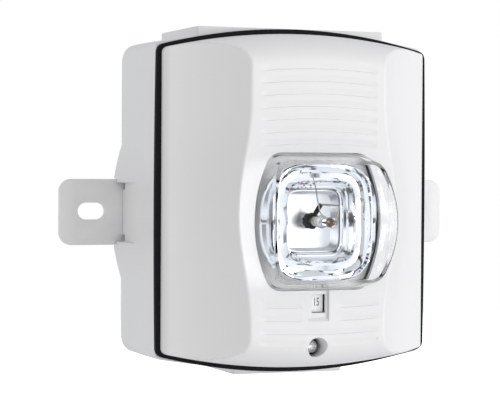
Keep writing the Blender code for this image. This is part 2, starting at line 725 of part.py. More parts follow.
def build_reflector():
    """Bright bowl: deep flat floor, flaring walls, and a flange that presses the lens forward."""
    floor = (12.0, 12.0, 14.5, 14.5, 2.5)
    waist = (18.0, 17.0, 19.0, 19.0, 4.0)
    mouth = (22.6, 20.5, 22.4, 22.4, 4.0)
    skin = 1.2
    low = blend(floor, waist, 0.45)
    flange = (27.0, 20.5, 27.0, 27.0, 5.0)
    knee = blend(floor, waist, 0.6)
    specs = [(grown(floor, skin), 64.8), (grown(low, skin), 70.5), (flange, 70.5), (flange, 72.0),
             (grown(knee, skin), 72.0), (grown(waist, skin), 76.0), (grown(mouth, skin), 88.0),
             (mouth, 88.0), (waist, 76.0), (floor, 66.0)]
    rings = [at(bulged(*spec, (0, LENS_Y), 4, 3), z) for spec, z in specs]
    bowl = loft("reflector", rings, MATS["bright_chrome"], UNIT)
    combine(bowl, rod("lead_hole", 1.3, (0, LENS_Y, 60.0), (0, LENS_Y, 70.0), None, UNIT, 12))


def build_flash_tube():
    """Xenon tube along the lens axis, its return lead folded back to a boot at the foot."""
    axis = (0.0, LENS_Y, 0.0)
    turned("flash_tube", [(1.2, TUBE_TIP), (TUBE_R, TUBE_TIP), (TUBE_R, TUBE_BASE), (1.2, TUBE_BASE)],
           axis, MATS["tube_glass"], UNIT, steps=16, closed=True)
    turned("tube_boot", [(2.45, 71.3), (3.3, 70.8), (3.3, 66.3), (2.45, 66.3)], axis, MATS["black_rubber"],
           UNIT, steps=16, closed=True)
    wire("cathode", [(0, LENS_Y, 76.0), (0, LENS_Y, 52.2)], 0.7, MATS["electrode_metal"], UNIT)
    lead = [(0, LENS_Y, 86.0), (0, LENS_Y, 93.6), (0.2, LENS_Y + 0.6, 94.2), (1.6, -2.2, 94.3),
            (1.8, -1.4, 93.6), (1.8, -1.2, 73.2)]
    wire("anode", lead, 0.5, MATS["electrode_metal"], UNIT)
    wire("lead_sleeve", [(1.8, -1.3, 72.8), (1.2, -3.4, 70.4)], 0.9, MATS["black_rubber"], UNIT)
    turns = [(2.7 * math.sin(math.radians(a)), LENS_Y - 2.7 * math.cos(math.radians(a)), 79.0 + a / 200)
             for a in range(0, 541, 45)]
    wire("trigger_wire", turns + [(-0.6, 3.0, 80.0), (-0.6, 9.0, 75.6)], 0.3, MATS["electrode_metal"], UNIT)


def build_rear_cover():
    """Pan that closes the front unit; two hooks at the top hang it on the mounting plate."""
    pan = (44.0, 44.0, 57.4, 57.4, 6.0)
    inner = grown(pan, -2.0)
    specs = [(pan, 44.0), (pan, 56.0), (inner, 56.0), (inner, 46.0)]
    rings = [at(bulged(*spec, (0.0, 1.4), 4), z) for spec, z in specs]
    cover = loft("rear_cover", rings, MATS["unit_white"], UNIT)
    for sx in (-1, 1):
        span = sorted((sx * (HOOK_X - 3.0), sx * (HOOK_X + 3.0)))
        combine(cover, block("hook_arm", span, (52.0, 54.5), (35.5, 45.0), None, UNIT), "UNION")
        combine(cover, block("hook_tongue", span, (52.0, 62.2), (35.5, 37.5), None, UNIT), "UNION")
        for sy in (-1, 1):
            foot = (sx * 34.0, sy * 22.0)
            stub = rod("board_stub", 2.5, (*foot, 45.0), (*foot, 49.7), None, UNIT, 12)
            combine(cover, stub, "UNION")
            place = (sx * POST[0], sy * POST[1])
            combine(cover, rod("cover_screw_bore", 1.7, (*place, 40.0), (*place, 50.0), None, UNIT, 12))
    combine(cover, rod("dial_opening", 4.0, (*DIAL, 40.0), (*DIAL, 50.0), None, UNIT, 20))
    combine(cover, block("stem_slot", *STEM_SLOT, (40.0, 50.0), None, UNIT))
    for x in BLADE_X:
        window = block("blade_window", (x - 0.9, x + 0.9), (BLADE_Y - 2.0, BLADE_Y + 2.0), (40.0, 50.0),
                       None, UNIT)
        combine(cover, window)
    number = 1
    for sx in (-1, 1):
        for sy in (-1, 1):
            pan_screw(f"cover_screw_{number}", (sx * POST[0], sy * POST[1]), 43.7, SMALL_HEAD, 1.3, 9.0,
                      MATS["zinc_steel"], UNIT, out=-1)
            number += 1


def build_board():
    outline = rectangle((-40.0, 40.0), (-52.0, 52.0))
    slot = rectangle(*STEM_SLOT)
    holes = [circle((sx * POST[0], sy * POST[1]), 3.6, 16) for sx in (-1, 1) for sy in (-1, 1)]
    plate("circuit_board", [outline, slot] + holes, (50.0, 51.6), MATS["board_green"], UNIT)
    for index, x in enumerate(BLADE_X, 1):
        block(f"contact_blade_{index}", (x - 0.4, x + 0.4), (BLADE_Y - 1.3, BLADE_Y + 1.3), (37.2, 49.7),
              MATS["brass"], UNIT)


def build_electronics():
    rod("storage_capacitor", 5.4, (-34.5, -26.0, 57.6), (-34.5, 4.0, 57.6), MATS["capacitor_sleeve"], UNIT)
    core = block("transformer", (28.4, 40.0), (-8.0, 6.0), (51.9, 61.0), MATS["ferrite"], UNIT)
    bevel(core, 0.6, 1)
    turned("trigger_coil", [(0, 60.0), (3.4, 60.0), (4.0, 59.4), (4.0, 51.9), (0, 51.9)],
           (33.0, -22.0, 0.0), MATS["coil_copper"], UNIT, steps=20)
    body = block("candela_switch", (-14.0, 14.0), (-46.4, -36.6), (51.9, 57.0), MATS["terminal_plastic"],
                 UNIT)
    combine(body, block("switch_slot", *STEM_SLOT, (50.0, 60.0), None, UNIT))
    block("tone_switch", (DIAL[0] - 5.0, DIAL[0] + 5.0), (DIAL[1] - 5.0, DIAL[1] + 5.0), (46.4, 49.7),
          MATS["terminal_plastic"], UNIT)


def build_sounder():
    axis = (0.0, HORN_Y, 0.0)
    turned("horn_case", [(0, 54.2), (13.2, 54.2), (13.2, 64.0), (15.4, 64.0), (15.4, 73.0), (HORN_R, 73.0),
                         (HORN_R, 52.2), (0, 52.2)],
           axis, MATS["terminal_plastic"], UNIT, steps=24)
    turned("horn_diaphragm", [(0, 65.0), (9.5, 65.0), (9.5, 64.7), (15.0, 64.7), (15.0, 64.3), (0, 64.3)],
           axis, MATS["brass"], UNIT, steps=24)
    turned("horn_retainer", [(12.0, 69.0), (15.0, 69.0), (15.0, 65.0), (12.0, 65.0)], axis,
           MATS["unit_white"], UNIT, steps=24, closed=True)
    turned("horn_screen", [(0, 74.2), (16.6, 74.2), (16.6, 73.4), (0, 73.4)], axis,
           MATS["black_rubber"], UNIT, steps=24)


# ---------------------------------------------------------------- pieces that move on the front unit

def build_candela_slide():
    """Number card behind the window, on a stem that is pushed along from behind."""
    card = block("candela_slider", (-3.3, 19.2), CARD_Y, CARD_Z, MATS["label_white"], CANDELA)
    stem = block("slider_stem", (6.5, 9.5), (-43.0, -40.0), (42.4, 73.0), None, CANDELA)
    combine(card, stem, "UNION")
    block("candela_window", (-5.0, 5.0), (-47.4, CARD_Y[1]), (74.1, 74.7), MATS["clear_lens"], UNIT)


def build_tone_dial():
    dial = turned("tone_dial", [(0, 46.1), (3.6, 46.1), (3.6, 42.9), (3.2, 42.5), (0, 42.5)], (*DIAL, 0.0),
                  MATS["dial_plastic"], TONE, steps=24)
    slot = block("dial_slot", (DIAL[0] - 0.6, DIAL[0] + 0.6), (DIAL[1] - 1.8, DIAL[1] + 5.0), (40.0, 43.7),
                 None, TONE)
    combine(dial, slot)


def build_captive_screw():
    """Cover screw with a driver recess; the retainer travels along with it as it backs out."""
    axis = (0.0, SCREW_Y, 0.0)
    screw = turned("captive_screw", [(0, 71.0), (2.2, 71.0), (2.75, 70.3), (2.75, 68.1), (SHANK_R, 68.1),
                                     (SHANK_R, 38.2), (1.0, 37.2), (0, 37.2)],
                   axis, MATS["zinc_steel"], SCREW, steps=20)
    combine(screw, cross_recess("captive_recess", (0.0, SCREW_Y), (69.3, 73.0), 3.6, SCREW))
    turned("screw_retainer", [(2.05, 59.4), (3.6, 59.4), (3.6, 58.0), (2.05, 58.0)], axis,
           MATS["spring_steel"], RETAINER, steps=20, closed=True)
    turned("screw_seal", [(2.2, 67.8), (3.6, 67.8), (3.6, 67.2), (2.2, 67.2)], axis, MATS["black_rubber"],
           UNIT, steps=20, closed=True)


# ---------------------------------------------------------------- assembly

ORIGINS = {}
clear_scene()
PARTS = new_collection("horn_strobe")
CUTTERS = new_collection("cutters")
WALL = new_empty("wall_frame", (0.0, 0.0, 0.0))
WALL.rotation_euler = (math.pi / 2, 0.0, 0.0)
UNIT = new_empty("front_unit_axis", HINGE, WALL)
CANDELA = new_empty("candela_axis", (8.0, -41.5, 42.4), UNIT)
TONE = new_empty("tone_axis", (*DIAL, 46.0), UNIT)
RETAINER = new_empty("retainer_axis", (0.0, SCREW_Y, 58.7), UNIT)
SCREW = new_empty("screw_axis", (0.0, SCREW_Y, 58.7), RETAINER)
MATS = {
    "unit_white": material("unit_white", (0.80, 0.80, 0.81), 0.42),
    "box_white": material("box_white", (0.78, 0.78, 0.79), 0.45),
    "flange_paint": material("flange_paint", (0.78, 0.78, 0.79), 0.40),
    "black_rubber": material("black_rubber", (0.012, 0.012, 0.014), 0.60),
    "clear_lens": material("clear_lens", (0.93, 0.95, 0.97), 0.05, alpha=0.3),
    "bright_chrome": material("bright_chrome", (0.90, 0.91, 0.93), 0.06, metallic=1.0),
    "tube_glass": material("tube_glass", (0.95, 0.95, 0.95), 0.03, alpha=0.3),
    "electrode_metal": material("electrode_metal", (0.45, 0.43, 0.40), 0.35, metallic=1.0),
    "zinc_steel": material("zinc_steel", (0.60, 0.60, 0.61), 0.32, metallic=1.0),
    "spring_steel": material("spring_steel", (0.50, 0.50, 0.52), 0.28, metallic=1.0),
    "brass": material("brass", (0.75, 0.56, 0.26), 0.30, metallic=1.0),
    "plug_plastic": material("plug_plastic", (0.76, 0.76, 0.77), 0.50),
    "terminal_plastic": material("terminal_plastic", (0.03, 0.03, 0.035), 0.50),
    "board_green": material("board_green", (0.02, 0.16, 0.06), 0.45),
    "capacitor_sleeve": material("capacitor_sleeve", (0.03, 0.04, 0.09), 0.35),
    "ferrite": material("ferrite", (0.10, 0.09, 0.085), 0.65),
    "coil_copper": material("coil_copper", (0.50, 0.20, 0.08), 0.40),
    "label_white": material("label_white", (0.86, 0.86, 0.86), 0.55),
    "dial_plastic": material("dial_plastic", (0.70, 0.36, 0.05), 0.45),
}
build_back_box()
build_flange(-1)
build_flange(1)
build_conduit_plug("top", TOP_BOSS_Y, 1)
build_conduit_plug("bottom", BOTTOM_BOSS_Y, -1)
build_gasket()
build_mounting_plate()
build_terminals()
build_housing()
build_lens()
build_reflector()
build_flash_tube()
build_rear_cover()
build_board()
build_electronics()
build_sounder()
build_candela_slide()
build_tone_dial()
build_captive_screw()
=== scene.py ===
"""Looks of the outdoor wall horn strobe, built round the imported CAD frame.

Shapes are drawn in the wall frame, in millimetres: x to the right, y up and z out of the wall.
The function piece() stands them upright in world metres, rides them on their CAD body and hides
the CAD nodes they stand for.
"""

import json
import math

import bmesh
import bpy
from mathutils import Matrix, Vector


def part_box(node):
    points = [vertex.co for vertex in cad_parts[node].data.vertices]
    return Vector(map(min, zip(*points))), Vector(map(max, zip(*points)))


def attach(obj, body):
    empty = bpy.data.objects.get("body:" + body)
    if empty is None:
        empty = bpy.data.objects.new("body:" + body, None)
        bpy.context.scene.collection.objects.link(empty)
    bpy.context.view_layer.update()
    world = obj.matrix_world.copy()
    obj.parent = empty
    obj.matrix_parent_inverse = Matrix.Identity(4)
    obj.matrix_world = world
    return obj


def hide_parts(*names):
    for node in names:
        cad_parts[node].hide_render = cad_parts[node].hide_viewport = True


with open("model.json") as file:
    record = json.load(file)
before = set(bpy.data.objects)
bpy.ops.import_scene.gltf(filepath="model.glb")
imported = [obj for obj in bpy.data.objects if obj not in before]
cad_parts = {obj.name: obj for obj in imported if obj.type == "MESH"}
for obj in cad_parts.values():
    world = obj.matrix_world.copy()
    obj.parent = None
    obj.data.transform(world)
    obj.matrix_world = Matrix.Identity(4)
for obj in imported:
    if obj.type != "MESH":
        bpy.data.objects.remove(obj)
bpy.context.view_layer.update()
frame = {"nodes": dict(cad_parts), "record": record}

MM = 0.001
TO_WORLD = Matrix(((MM, 0, 0, 0), (0, 0, -MM, 0), (0, MM, 0, 0), (0, 0, 0, 1)))


# ---------------------------------------------------------------- places taken from the frame

def span(node):
    """Limits of a CAD node in the wall frame: (x low, x high), (y low, y high), (z low, z high)."""
    low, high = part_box(node)
    return (low.x / MM, high.x / MM), (low.z / MM, high.z / MM), (-high.y / MM, -low.y / MM)


def middle(limits):
    return (limits[0] + limits[1]) / 2


def joint_value(name, key):
    for joint in frame["record"]["behaviour"]["joints"]:
        if joint["name"] == name:
            return joint[key]


HALF_W = span("front_housing")[0][1]
MID_H = span("front_housing")[1][1]
RIM, PANEL = span("front_housing")[2]
PANEL_RISE = PANEL - RIM
LENS_Y = middle(span("lens")[1])
LENS_FOOT, LENS_FRONT = span("lens")[2]
SCREW_Y = middle(span("captive_screw")[1])
BOX_Y, BOX_Z = span("back_box")[1:]
FLANGE_Y = middle(span("mounting_flange_left")[1])
FLANGE_LOW, FLANGE_HIGH = span("mounting_flange_left")[1]
FLANGE_REACH = span("mounting_flange_right")[0][1]
FLANGE_THICK = span("mounting_flange_right")[2][1]

# Front housing skin
SIDE_H = 63.8
CORNER_R = 2.0
LIP = 3.0
SKIN = 2.2
FILLET_R = 5.0
FILLET_SLOPE = math.radians(28.0)
ROLL = 13.0
PANEL_HALF_W = 29.8
PANEL_BULGE = 5.4
PANEL_BULGE_Y = -4.5
PANEL_BULGE_SPAN = 47.0
EDGE_BLEND = 0.9              # how softly the wing, the rolled edge and the panel run together
WELL_R = 4.0
WELL_FLOOR = 66.9

# Sound slots: shallow channels that follow the arch of the housing
SLOT_HALF_W = 25.8
SLOT_ARCH = 1.4
SLOT_HEIGHT = 2.4
SLOT_DEPTH = 0.34
SLOT_FADE = 2.5               # length over which a channel runs out at each end
UPPER_SLOT_TOP = 55.9
UPPER_SLOT_PITCH = 5.15
UPPER_SLOTS = 7
LOWER_SLOT_Y = (-43.0, -48.5, -53.9, -59.0)

# Lens outlines: (half width, corner half width, half height, corner half height, corner radius)
LENS_BASE = (28.1, 21.0, 28.15, 28.15, 5.0)
LENS_FACE = (27.2, 22.6, 25.2, 25.2, 5.0)
LENS_HUB = (0.6, 0.6, 0.6, 0.6, 0.2)
LENS_SAG = 7.8                # the face falls back towards its top and bottom edges
LENS_WALL = 1.6
LENS_EDGE_R = 1.8
FACETS = 6                    # swells round each reflector terrace

# Back box
BOX_REAR_W = 63.3
BOX_FRONT_W = 61.0
BOX_MID_H = 72.2
BOX_REAR_SIDE_H = 67.4
BOX_FRONT_SIDE_H = 66.6
BOX_WALL = 2.6
BOX_BACK = 2.8
TOP_BOSS_W = (45.0, 42.7)     # at the wall and at the front
BOTTOM_BOSS_W = (27.0, 25.0)
TOP_BOSS_FRONT = 44.5
BOTTOM_BOSS_FRONT = 42.5
CONDUIT_R = 13.2
COLLAR_R = 15.4
KNOCKOUT_R = 10.0
GROOVE_R = (9.6, 10.4)        # outline of each knock-out in the back
GROOVE_DEPTH = 0.6
GROOVE_Y = 34.0
STANDOFF_R = 4.5
STANDOFF_TOP = 29.7
PILOT_R = 2.05
SWELL_HALF_H = 30.2
SWELL_NOTCH = 13.0            # half the height of the notch that the flange passes through
SEAT_PAD_X = (43.0, 60.0)
SEAT_POCKET_X = (45.0, 75.0)
RELIEF_X = (56.0, 70.0)
RELIEF_Z = (2.3, 6.7)
FLANGE_CORNER_R = 5.5
FLANGE_SLOT_X = (71.3, 83.6)
FLANGE_SLOT_R = 3.7
FLANGE_FOOT = 46.0
FLANGE_SCREW_X = middle(span("flange_screw_right")[0])
SHANK_R = 1.75

# Number window
WINDOW_X = (-2.5, 3.5)
DIGIT_SIZE = 4.6
PAINTED_SHADE_EDGE_X = 3.30          # right-hand inner edge of the black frame in front of the card, painted shade for the dark gap beside it
CARD_PAINTED_GLOW = 0.22              # painted light: a faint glow that keeps the card bright though its deep recess shades it

# Clear plastic
SKIN_GLOSS = 0.35
TRAPPED_DEPTH = 2.5           # bounces after which light inside a clear wall is let out


# ---------------------------------------------------------------- node materials

def new_material(name, colour, roughness, metallic=0.0):
    mat = bpy.data.materials.new(name)
    mat.use_nodes = True
    tree = mat.node_tree
    shader = tree.nodes["Principled BSDF"]
    shader.inputs["Base Color"].default_value = (*colour, 1.0)
    shader.inputs["Roughness"].default_value = roughness
    shader.inputs["Metallic"].default_value = metallic
    mat.diffuse_color = (*colour, 1.0)
    return mat, tree, shader


def feed(tree, socket, value):
    """Set an input, or link it when the value is another node's output."""
    if isinstance(value, bpy.types.NodeSocket):
        tree.links.new(value, socket)
    else:
        socket.default_value = value


def add_node(tree, kind, *first_inputs, **values):
    """A node with its first inputs fed in order, and the rest, or its settings, by name."""
    node = tree.nodes.new(kind)
    for key, value in values.items():
        if key in node.inputs:
            feed(tree, node.inputs[key], value)
        else:
            setattr(node, key, value)
    for socket, value in zip(node.inputs, first_inputs):
        feed(tree, socket, value)
    return node


def maths(tree, operation, first, second):
    return add_node(tree, "ShaderNodeMath", first, second, operation=operation).outputs["Value"]


def mix_colours(tree, share, low, high, **values):
    node = add_node(tree, "ShaderNodeMix", share, data_type="RGBA", **values)
    feed(tree, node.inputs[6], low)
    feed(tree, node.inputs[7], high)
    return node.outputs[2]


def noise(tree, scale, detail=2.0, stretch=(1.0, 1.0, 1.0)):
    """Noise over the piece, in metres, optionally stretched along an axis."""
    coords = add_node(tree, "ShaderNodeTexCoord").outputs["Object"]
    mapping = add_node(tree, "ShaderNodeMapping", coords, Scale=stretch).outputs["Vector"]
    return add_node(tree, "ShaderNodeTexNoise", mapping, Scale=scale, Detail=detail).outputs["Fac"]


def remap(tree, source, low, high):
    node = add_node(tree, "ShaderNodeMapRange", source, **{"To Min": low, "To Max": high})
    return node.outputs["Result"]


def vary_colour(tree, shader, source, colour, amount):
    """Drift the base colour lighter and darker by a share of itself."""
    darker = (*[c * (1 - amount) for c in colour], 1.0)
    lighter = (*[min(1.0, c * (1 + amount)) for c in colour], 1.0)
    feed(tree, shader.inputs["Base Color"], mix_colours(tree, source, darker, lighter))


def bump(tree, shader, source, depth, rounded=0.0):
    """Surface relief of a depth in metres; rounded also softens the edges by a radius in metres."""
    node = add_node(tree, "ShaderNodeBump", Strength=1.0, Distance=depth, Height=source)
    if rounded:
        edge = add_node(tree, "ShaderNodeBevel", Radius=rounded, samples=4)
        feed(tree, node.inputs["Normal"], edge.outputs["Normal"])
    feed(tree, shader.inputs["Normal"], node.outputs["Normal"])


def moulded(name, colour, roughness, grain=0.000012, rounded=0.0):
    """Moulded plastic: a faint spark-eroded grain and slow drifts in colour and gloss."""
    mat, tree, shader = new_material(name, colour, roughness)
    vary_colour(tree, shader, noise(tree, 25.0), colour, 0.012)
    cloudy = remap(tree, noise(tree, 90.0), roughness - 0.05, roughness + 0.05)
    feed(tree, shader.inputs["Roughness"], cloudy)
    bump(tree, shader, noise(tree, 3200.0, 3.0), grain, rounded=rounded)
    return mat


def powder_coat(name, colour, roughness, rounded=0.0):
    """Painted metal with orange peel."""
    mat, tree, shader = new_material(name, colour, roughness)
    vary_colour(tree, shader, noise(tree, 18.0), colour, 0.015)
    speckle = remap(tree, noise(tree, 500.0), roughness - 0.06, roughness + 0.06)
    feed(tree, shader.inputs["Roughness"], speckle)
    bump(tree, shader, noise(tree, 900.0, 2.0), 0.00005, rounded=rounded)
    return mat


def rubber(name, colour):
    mat, tree, shader = new_material(name, colour, 0.75)
    shader.inputs["Specular IOR Level"].default_value = 0.15
    vary_colour(tree, shader, noise(tree, 300.0, 4.0), colour, 0.35)
    bump(tree, shader, noise(tree, 2400.0, 4.0), 0.00004)
    return mat


def plated(name, colour, roughness, stretch=(1.0, 1.0, 1.0)):
    """Bare or plated metal with fine drawn marks and smudges in its gloss."""
    mat, tree, shader = new_material(name, colour, roughness, 1.0)
    vary_colour(tree, shader, noise(tree, 220.0, 3.0), colour, 0.10)
    smudge = remap(tree, noise(tree, 160.0, 3.0), roughness * 0.7, roughness * 1.4)
    feed(tree, shader.inputs["Roughness"], smudge)
    bump(tree, shader, noise(tree, 2500.0, 2.0, stretch), 0.000006)
    return mat


def mirror_plate(name, roughness):
    """Vacuum-plated plastic: bright, with the slight ripple of a moulded base."""
    colour = (0.95, 0.96, 0.98)
    mat, tree, shader = new_material(name, colour, roughness, 1.0)
    vary_colour(tree, shader, noise(tree, 60.0), colour, 0.02)
    bump(tree, shader, noise(tree, 260.0, 1.0), 0.00002)
    return mat


def clear_plastic(name, tint, index=1.12, rim=0.92):
    """Clear moulding with a glossy skin; its colour greys at grazing angles by the share rim, painted shade
    for its dark walls, and it lets trapped light out.
    """
    mat, tree, shader = new_material(name, tint, 0.0)
    shader.inputs["IOR"].default_value = index
    shader.inputs["Transmission Weight"].default_value = 1.0
    shader.inputs["Coat Roughness"].default_value = 0.03
    bump(tree, shader, noise(tree, 120.0, 1.0), 0.000004)
    facing = add_node(tree, "ShaderNodeLayerWeight", Blend=0.5).outputs["Facing"]
    # painted shade: the tint darkens towards grazing angles
    painted_edge_shade = (*[c * rim for c in tint], 1.0)
    colour = mix_colours(tree, maths(tree, "POWER", facing, 4.0), (*tint, 1.0), painted_edge_shade)
    feed(tree, shader.inputs["Base Color"], colour)
    light = add_node(tree, "ShaderNodeLightPath").outputs
    feed(tree, shader.inputs["Coat Weight"], maths(tree, "MULTIPLY", light["Is Camera Ray"], SKIN_GLOSS))
    trapped = maths(tree, "GREATER_THAN", light["Ray Depth"], TRAPPED_DEPTH)
    passed = maths(tree, "MAXIMUM", trapped, light["Is Shadow Ray"])
    see_through = add_node(tree, "ShaderNodeBsdfTransparent").outputs["BSDF"]
    mix = add_node(tree, "ShaderNodeMixShader", passed, shader.outputs["BSDF"], see_through)
    feed(tree, tree.nodes["Material Output"].inputs["Surface"], mix.outputs["Shader"])
    mat.diffuse_color = (*tint, 0.3)
    return mat


def wound(name, colour, density):
    """Fine enamelled wire laid side by side."""
    mat, tree, shader = new_material(name, colour, 0.35, 0.4)
    coords = add_node(tree, "ShaderNodeTexCoord").outputs["Object"]
    wave = add_node(tree, "ShaderNodeTexWave", coords, Scale=density, Distortion=0.6, bands_direction="Y")
    vary_colour(tree, shader, wave.outputs["Fac"], colour, 0.30)
    bump(tree, shader, wave.outputs["Fac"], 0.00015)
    return mat


def laminate(name, colour):
    """Green solder mask over the faint relief of copper tracks."""
    mat, tree, shader = new_material(name, colour, 0.35)
    coords = add_node(tree, "ShaderNodeTexCoord").outputs["Object"]
    cells = add_node(tree, "ShaderNodeTexVoronoi", coords, Scale=380.0, distance="MANHATTAN")
    vary_colour(tree, shader, cells.outputs["Distance"], colour, 0.35)
    bump(tree, shader, cells.outputs["Distance"], 0.00004)
    return mat


def painted_glow(mat, strength):
    """Give a material a faint glow of its own, as painted light; it is no lamp."""
    shader = mat.node_tree.nodes["Principled BSDF"]
    shader.inputs["Emission Strength"].default_value = strength
    shader.inputs["Emission Color"].default_value = (1, 1, 1, 1)
    return mat


def make_materials():
    white = (0.80, 0.80, 0.805)
    grey_white = (0.79, 0.79, 0.795)
    return {
        "unit_white": moulded("unit_white_plastic", white, 0.42, rounded=0.00022),
        "box_white": powder_coat("box_powder_coat", grey_white, 0.45, rounded=0.0005),
        "flange_paint": powder_coat("flange_powder_coat", grey_white, 0.42),
        "black_rubber": rubber("black_rubber_skin", (0.008, 0.008, 0.010)),
        "clear_lens": clear_plastic("clear_polycarbonate", (0.985, 0.99, 1.0)),
        "bright_chrome": mirror_plate("mirror_plating", 0.05),
        "tube_glass": clear_plastic("tube_glass_clear", (0.97, 0.97, 0.97), 1.40),
        "electrode_metal": plated("drawn_electrode_wire", (0.42, 0.39, 0.35), 0.35),
        "zinc_steel": plated("zinc_plate", (0.76, 0.76, 0.77), 0.26),
        "spring_steel": plated("spring_strip", (0.52, 0.52, 0.54), 0.26, (1.0, 12.0, 1.0)),
        "brass": plated("brass_strip", (0.76, 0.57, 0.27), 0.28, (1.0, 1.0, 10.0)),
        "plug_plastic": moulded("plug_moulding", (0.74, 0.74, 0.75), 0.50, 0.00002),
        "terminal_plastic": moulded("black_moulding", (0.030, 0.030, 0.034), 0.48, 0.00003),
        "board_green": laminate("board_laminate", (0.02, 0.17, 0.07)),
        "capacitor_sleeve": moulded("sleeve_film", (0.03, 0.045, 0.10), 0.30, 0.00001),
        "ferrite": moulded("sintered_core", (0.10, 0.09, 0.085), 0.70, 0.00006),
        "coil_copper": wound("enamelled_winding", (0.50, 0.21, 0.08), 1400.0),
        # the number card's white carries a painted glow, painted light that brightens it in its shaded
        # recess
        "label_white": painted_glow(moulded("card_white_painted_glow", (0.88, 0.88, 0.88), 0.55, 0.000005), CARD_PAINTED_GLOW),
        "dial_plastic": moulded("dial_moulding", (0.72, 0.36, 0.05), 0.42, 0.00001),
    }


MATS = make_materials()
INK = moulded("number_ink", (0.05, 0.05, 0.06), 0.55, 0.000004)
SATIN = mirror_plate("satin_plating", 0.40)
SCORCHED = plated("scorched_electrode", (0.20, 0.13, 0.07), 0.40)


# ---------------------------------------------------------------- mesh helpers

def link(name, data):
    obj = bpy.data.objects.new(name, data)
    bpy.context.scene.collection.objects.link(obj)
    return obj


def meshed(name, bm):
    """Turn a bmesh, which is used up, into a mesh with its faces pointing out."""
    bmesh.ops.recalc_face_normals(bm, faces=bm.faces)
    mesh = bpy.data.meshes.new(name)
    bm.to_mesh(mesh)
    bm.free()
    return mesh


def evaluated(obj):
    """Read an object as its modifiers leave it into a bmesh, and remove the object."""
    graph = bpy.context.evaluated_depsgraph_get()
    bm = bmesh.new()
    bm.from_mesh(bpy.data.meshes.new_from_object(obj.evaluated_get(graph)))
    bpy.data.objects.remove(obj, do_unlink=True)
    return bm


def piece(name, bm, slot, body, replaced=(), angle=32.0, mat=None):
    """Finish a mesh drawn in the wall frame and hang it on a CAD body."""
    mesh = meshed(name, bm)
    mesh.transform(TO_WORLD)
    mesh.shade_smooth()
    mesh.set_sharp_from_angle(angle=math.radians(angle))
    mesh.materials.append(mat or MATS[slot])
    obj = link(name, mesh)
    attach(obj, body)
    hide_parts(*replaced)


def baked(bm, kind, **settings):
    """Run one modifier on a mesh."""
    obj = link("scratch", meshed("scratch", bm))
    mod = obj.modifiers.new(kind, kind)
    for key, value in settings.items():
        setattr(mod, key, value)
    return evaluated(obj)


def cut(bm, shape, operation="DIFFERENCE"):
    """Cut a mesh with another, or join or trim it; both are used up."""
    tool = link("tool", meshed("tool", shape))
    result = baked(bm, "BOOLEAN", operation=operation, object=tool)
    bpy.data.objects.remove(tool, do_unlink=True)
    return result


def bevelled(bm, width, segments=2):
    return baked(bm, "BEVEL", width=width, segments=segments, limit_method="ANGLE",
                 angle_limit=math.radians(30.0))


def turns(count):
    """Even angles round a circle."""
    return [2 * math.pi * i / count for i in range(count)]


def beside(side, near, far):
    """Two distances from the middle line as (low, high) on the left (-1) or the right (1)."""
    return sorted((side * near, side * far))


def merged(*parts):
    """Put several meshes into one, as separate islands."""
    whole = bmesh.new()
    for part in parts:
        mesh = meshed("part", part)
        whole.from_mesh(mesh)
        bpy.data.meshes.remove(mesh)
    return whole


def loft(rings, closed=False):
    """Skin equal rings of points in order; close the ends with caps, or join the last ring to the first."""
    bm = bmesh.new()
    levels = [[bm.verts.new(point) for point in ring] for ring in rings]
    count = len(levels[0])
    pairs = list(zip(levels, levels[1:]))
    if closed:
        pairs.append((levels[-1], levels[0]))
    for low, high in pairs:
        for i in range(count):
            j = (i + 1) % count
            bm.faces.new((low[i], low[j], high[j], high[i]))
    if not closed:
        bm.faces.new(levels[0])
        bm.faces.new(levels[-1])
    return bm


def block(x, y, z):
    return loft([[(x[0], y[0], level), (x[1], y[0], level), (x[1], y[1], level), (x[0], y[1], level)]
                 for level in z])


def lathe(profile, centre, steps=48, tilt=0.0, lobes=0, lobe_depth=0.0):
    """Turn a (radius, height) profile about an axis through centre; tilt swings the axis about x."""
    place = Matrix.Translation(centre) @ Matrix.Rotation(tilt, 4, "X")
    rings = []
    for radius, height in profile:
        ring = []
        for turn in turns(steps):
            reach = radius * (1 + lobe_depth * math.cos(lobes * turn))
            ring.append(place @ Vector((reach * math.cos(turn), reach * math.sin(turn), height)))
        rings.append(ring)
    return loft(rings)


def rod(radius, start, end, steps=32):
    """A cylinder between two points."""
    axis = Vector(end) - Vector(start)
    turn = Vector((0, 0, 1)).rotation_difference(axis).to_matrix().to_4x4()
    place = Matrix.Translation(start) @ turn
    ring = [Vector((radius * math.cos(a), radius * math.sin(a), 0)) for a in turns(steps)]
    return loft([[place @ point for point in ring],
                 [place @ (point + Vector((0, 0, axis.length))) for point in ring]])


def tube(points, radius, steps=12, beads=None):
    """A round wire through the points; beads is a list of radius factors, one per point."""
    path = [Vector(point) for point in points]
    rings = []
    side = None
    for index, here in enumerate(path):
        ahead = path[min(index + 1, len(path) - 1)] - path[max(index - 1, 0)]
        ahead.normalize()
        if side is None:
            side = ahead.orthogonal().normalized()
        side = (side - ahead * side.dot(ahead)).normalized()
        across = ahead.cross(side)
        size = radius * (beads[index] if beads else 1.0)
        rings.append([here + (side * math.cos(a) + across * math.sin(a)) * size for a in turns(steps)])
    return loft(rings)


def eased_corner(start, knee, stop, t):
    """A point on the curve from start to stop that a knee pulls towards itself."""
    return start * (1 - t) ** 2 + knee * 2 * t * (1 - t) + stop * t * t


def rounded_path(corners, radius):
    """Straight runs between corners, each corner eased by a curve."""
    points = [Vector(corners[0])]
    for before, corner, after in zip(corners, corners[1:], corners[2:]):
        before, corner, after = Vector(before), Vector(corner), Vector(after)
        reach_in = min(radius, (corner - before).length * 0.45)
        reach_out = min(radius, (after - corner).length * 0.45)
        start = corner + (before - corner).normalized() * reach_in
        stop = corner + (after - corner).normalized() * reach_out
        for i in range(7):
            points.append(eased_corner(start, corner, stop, i / 6))
    points.append(Vector(corners[-1]))
    return points


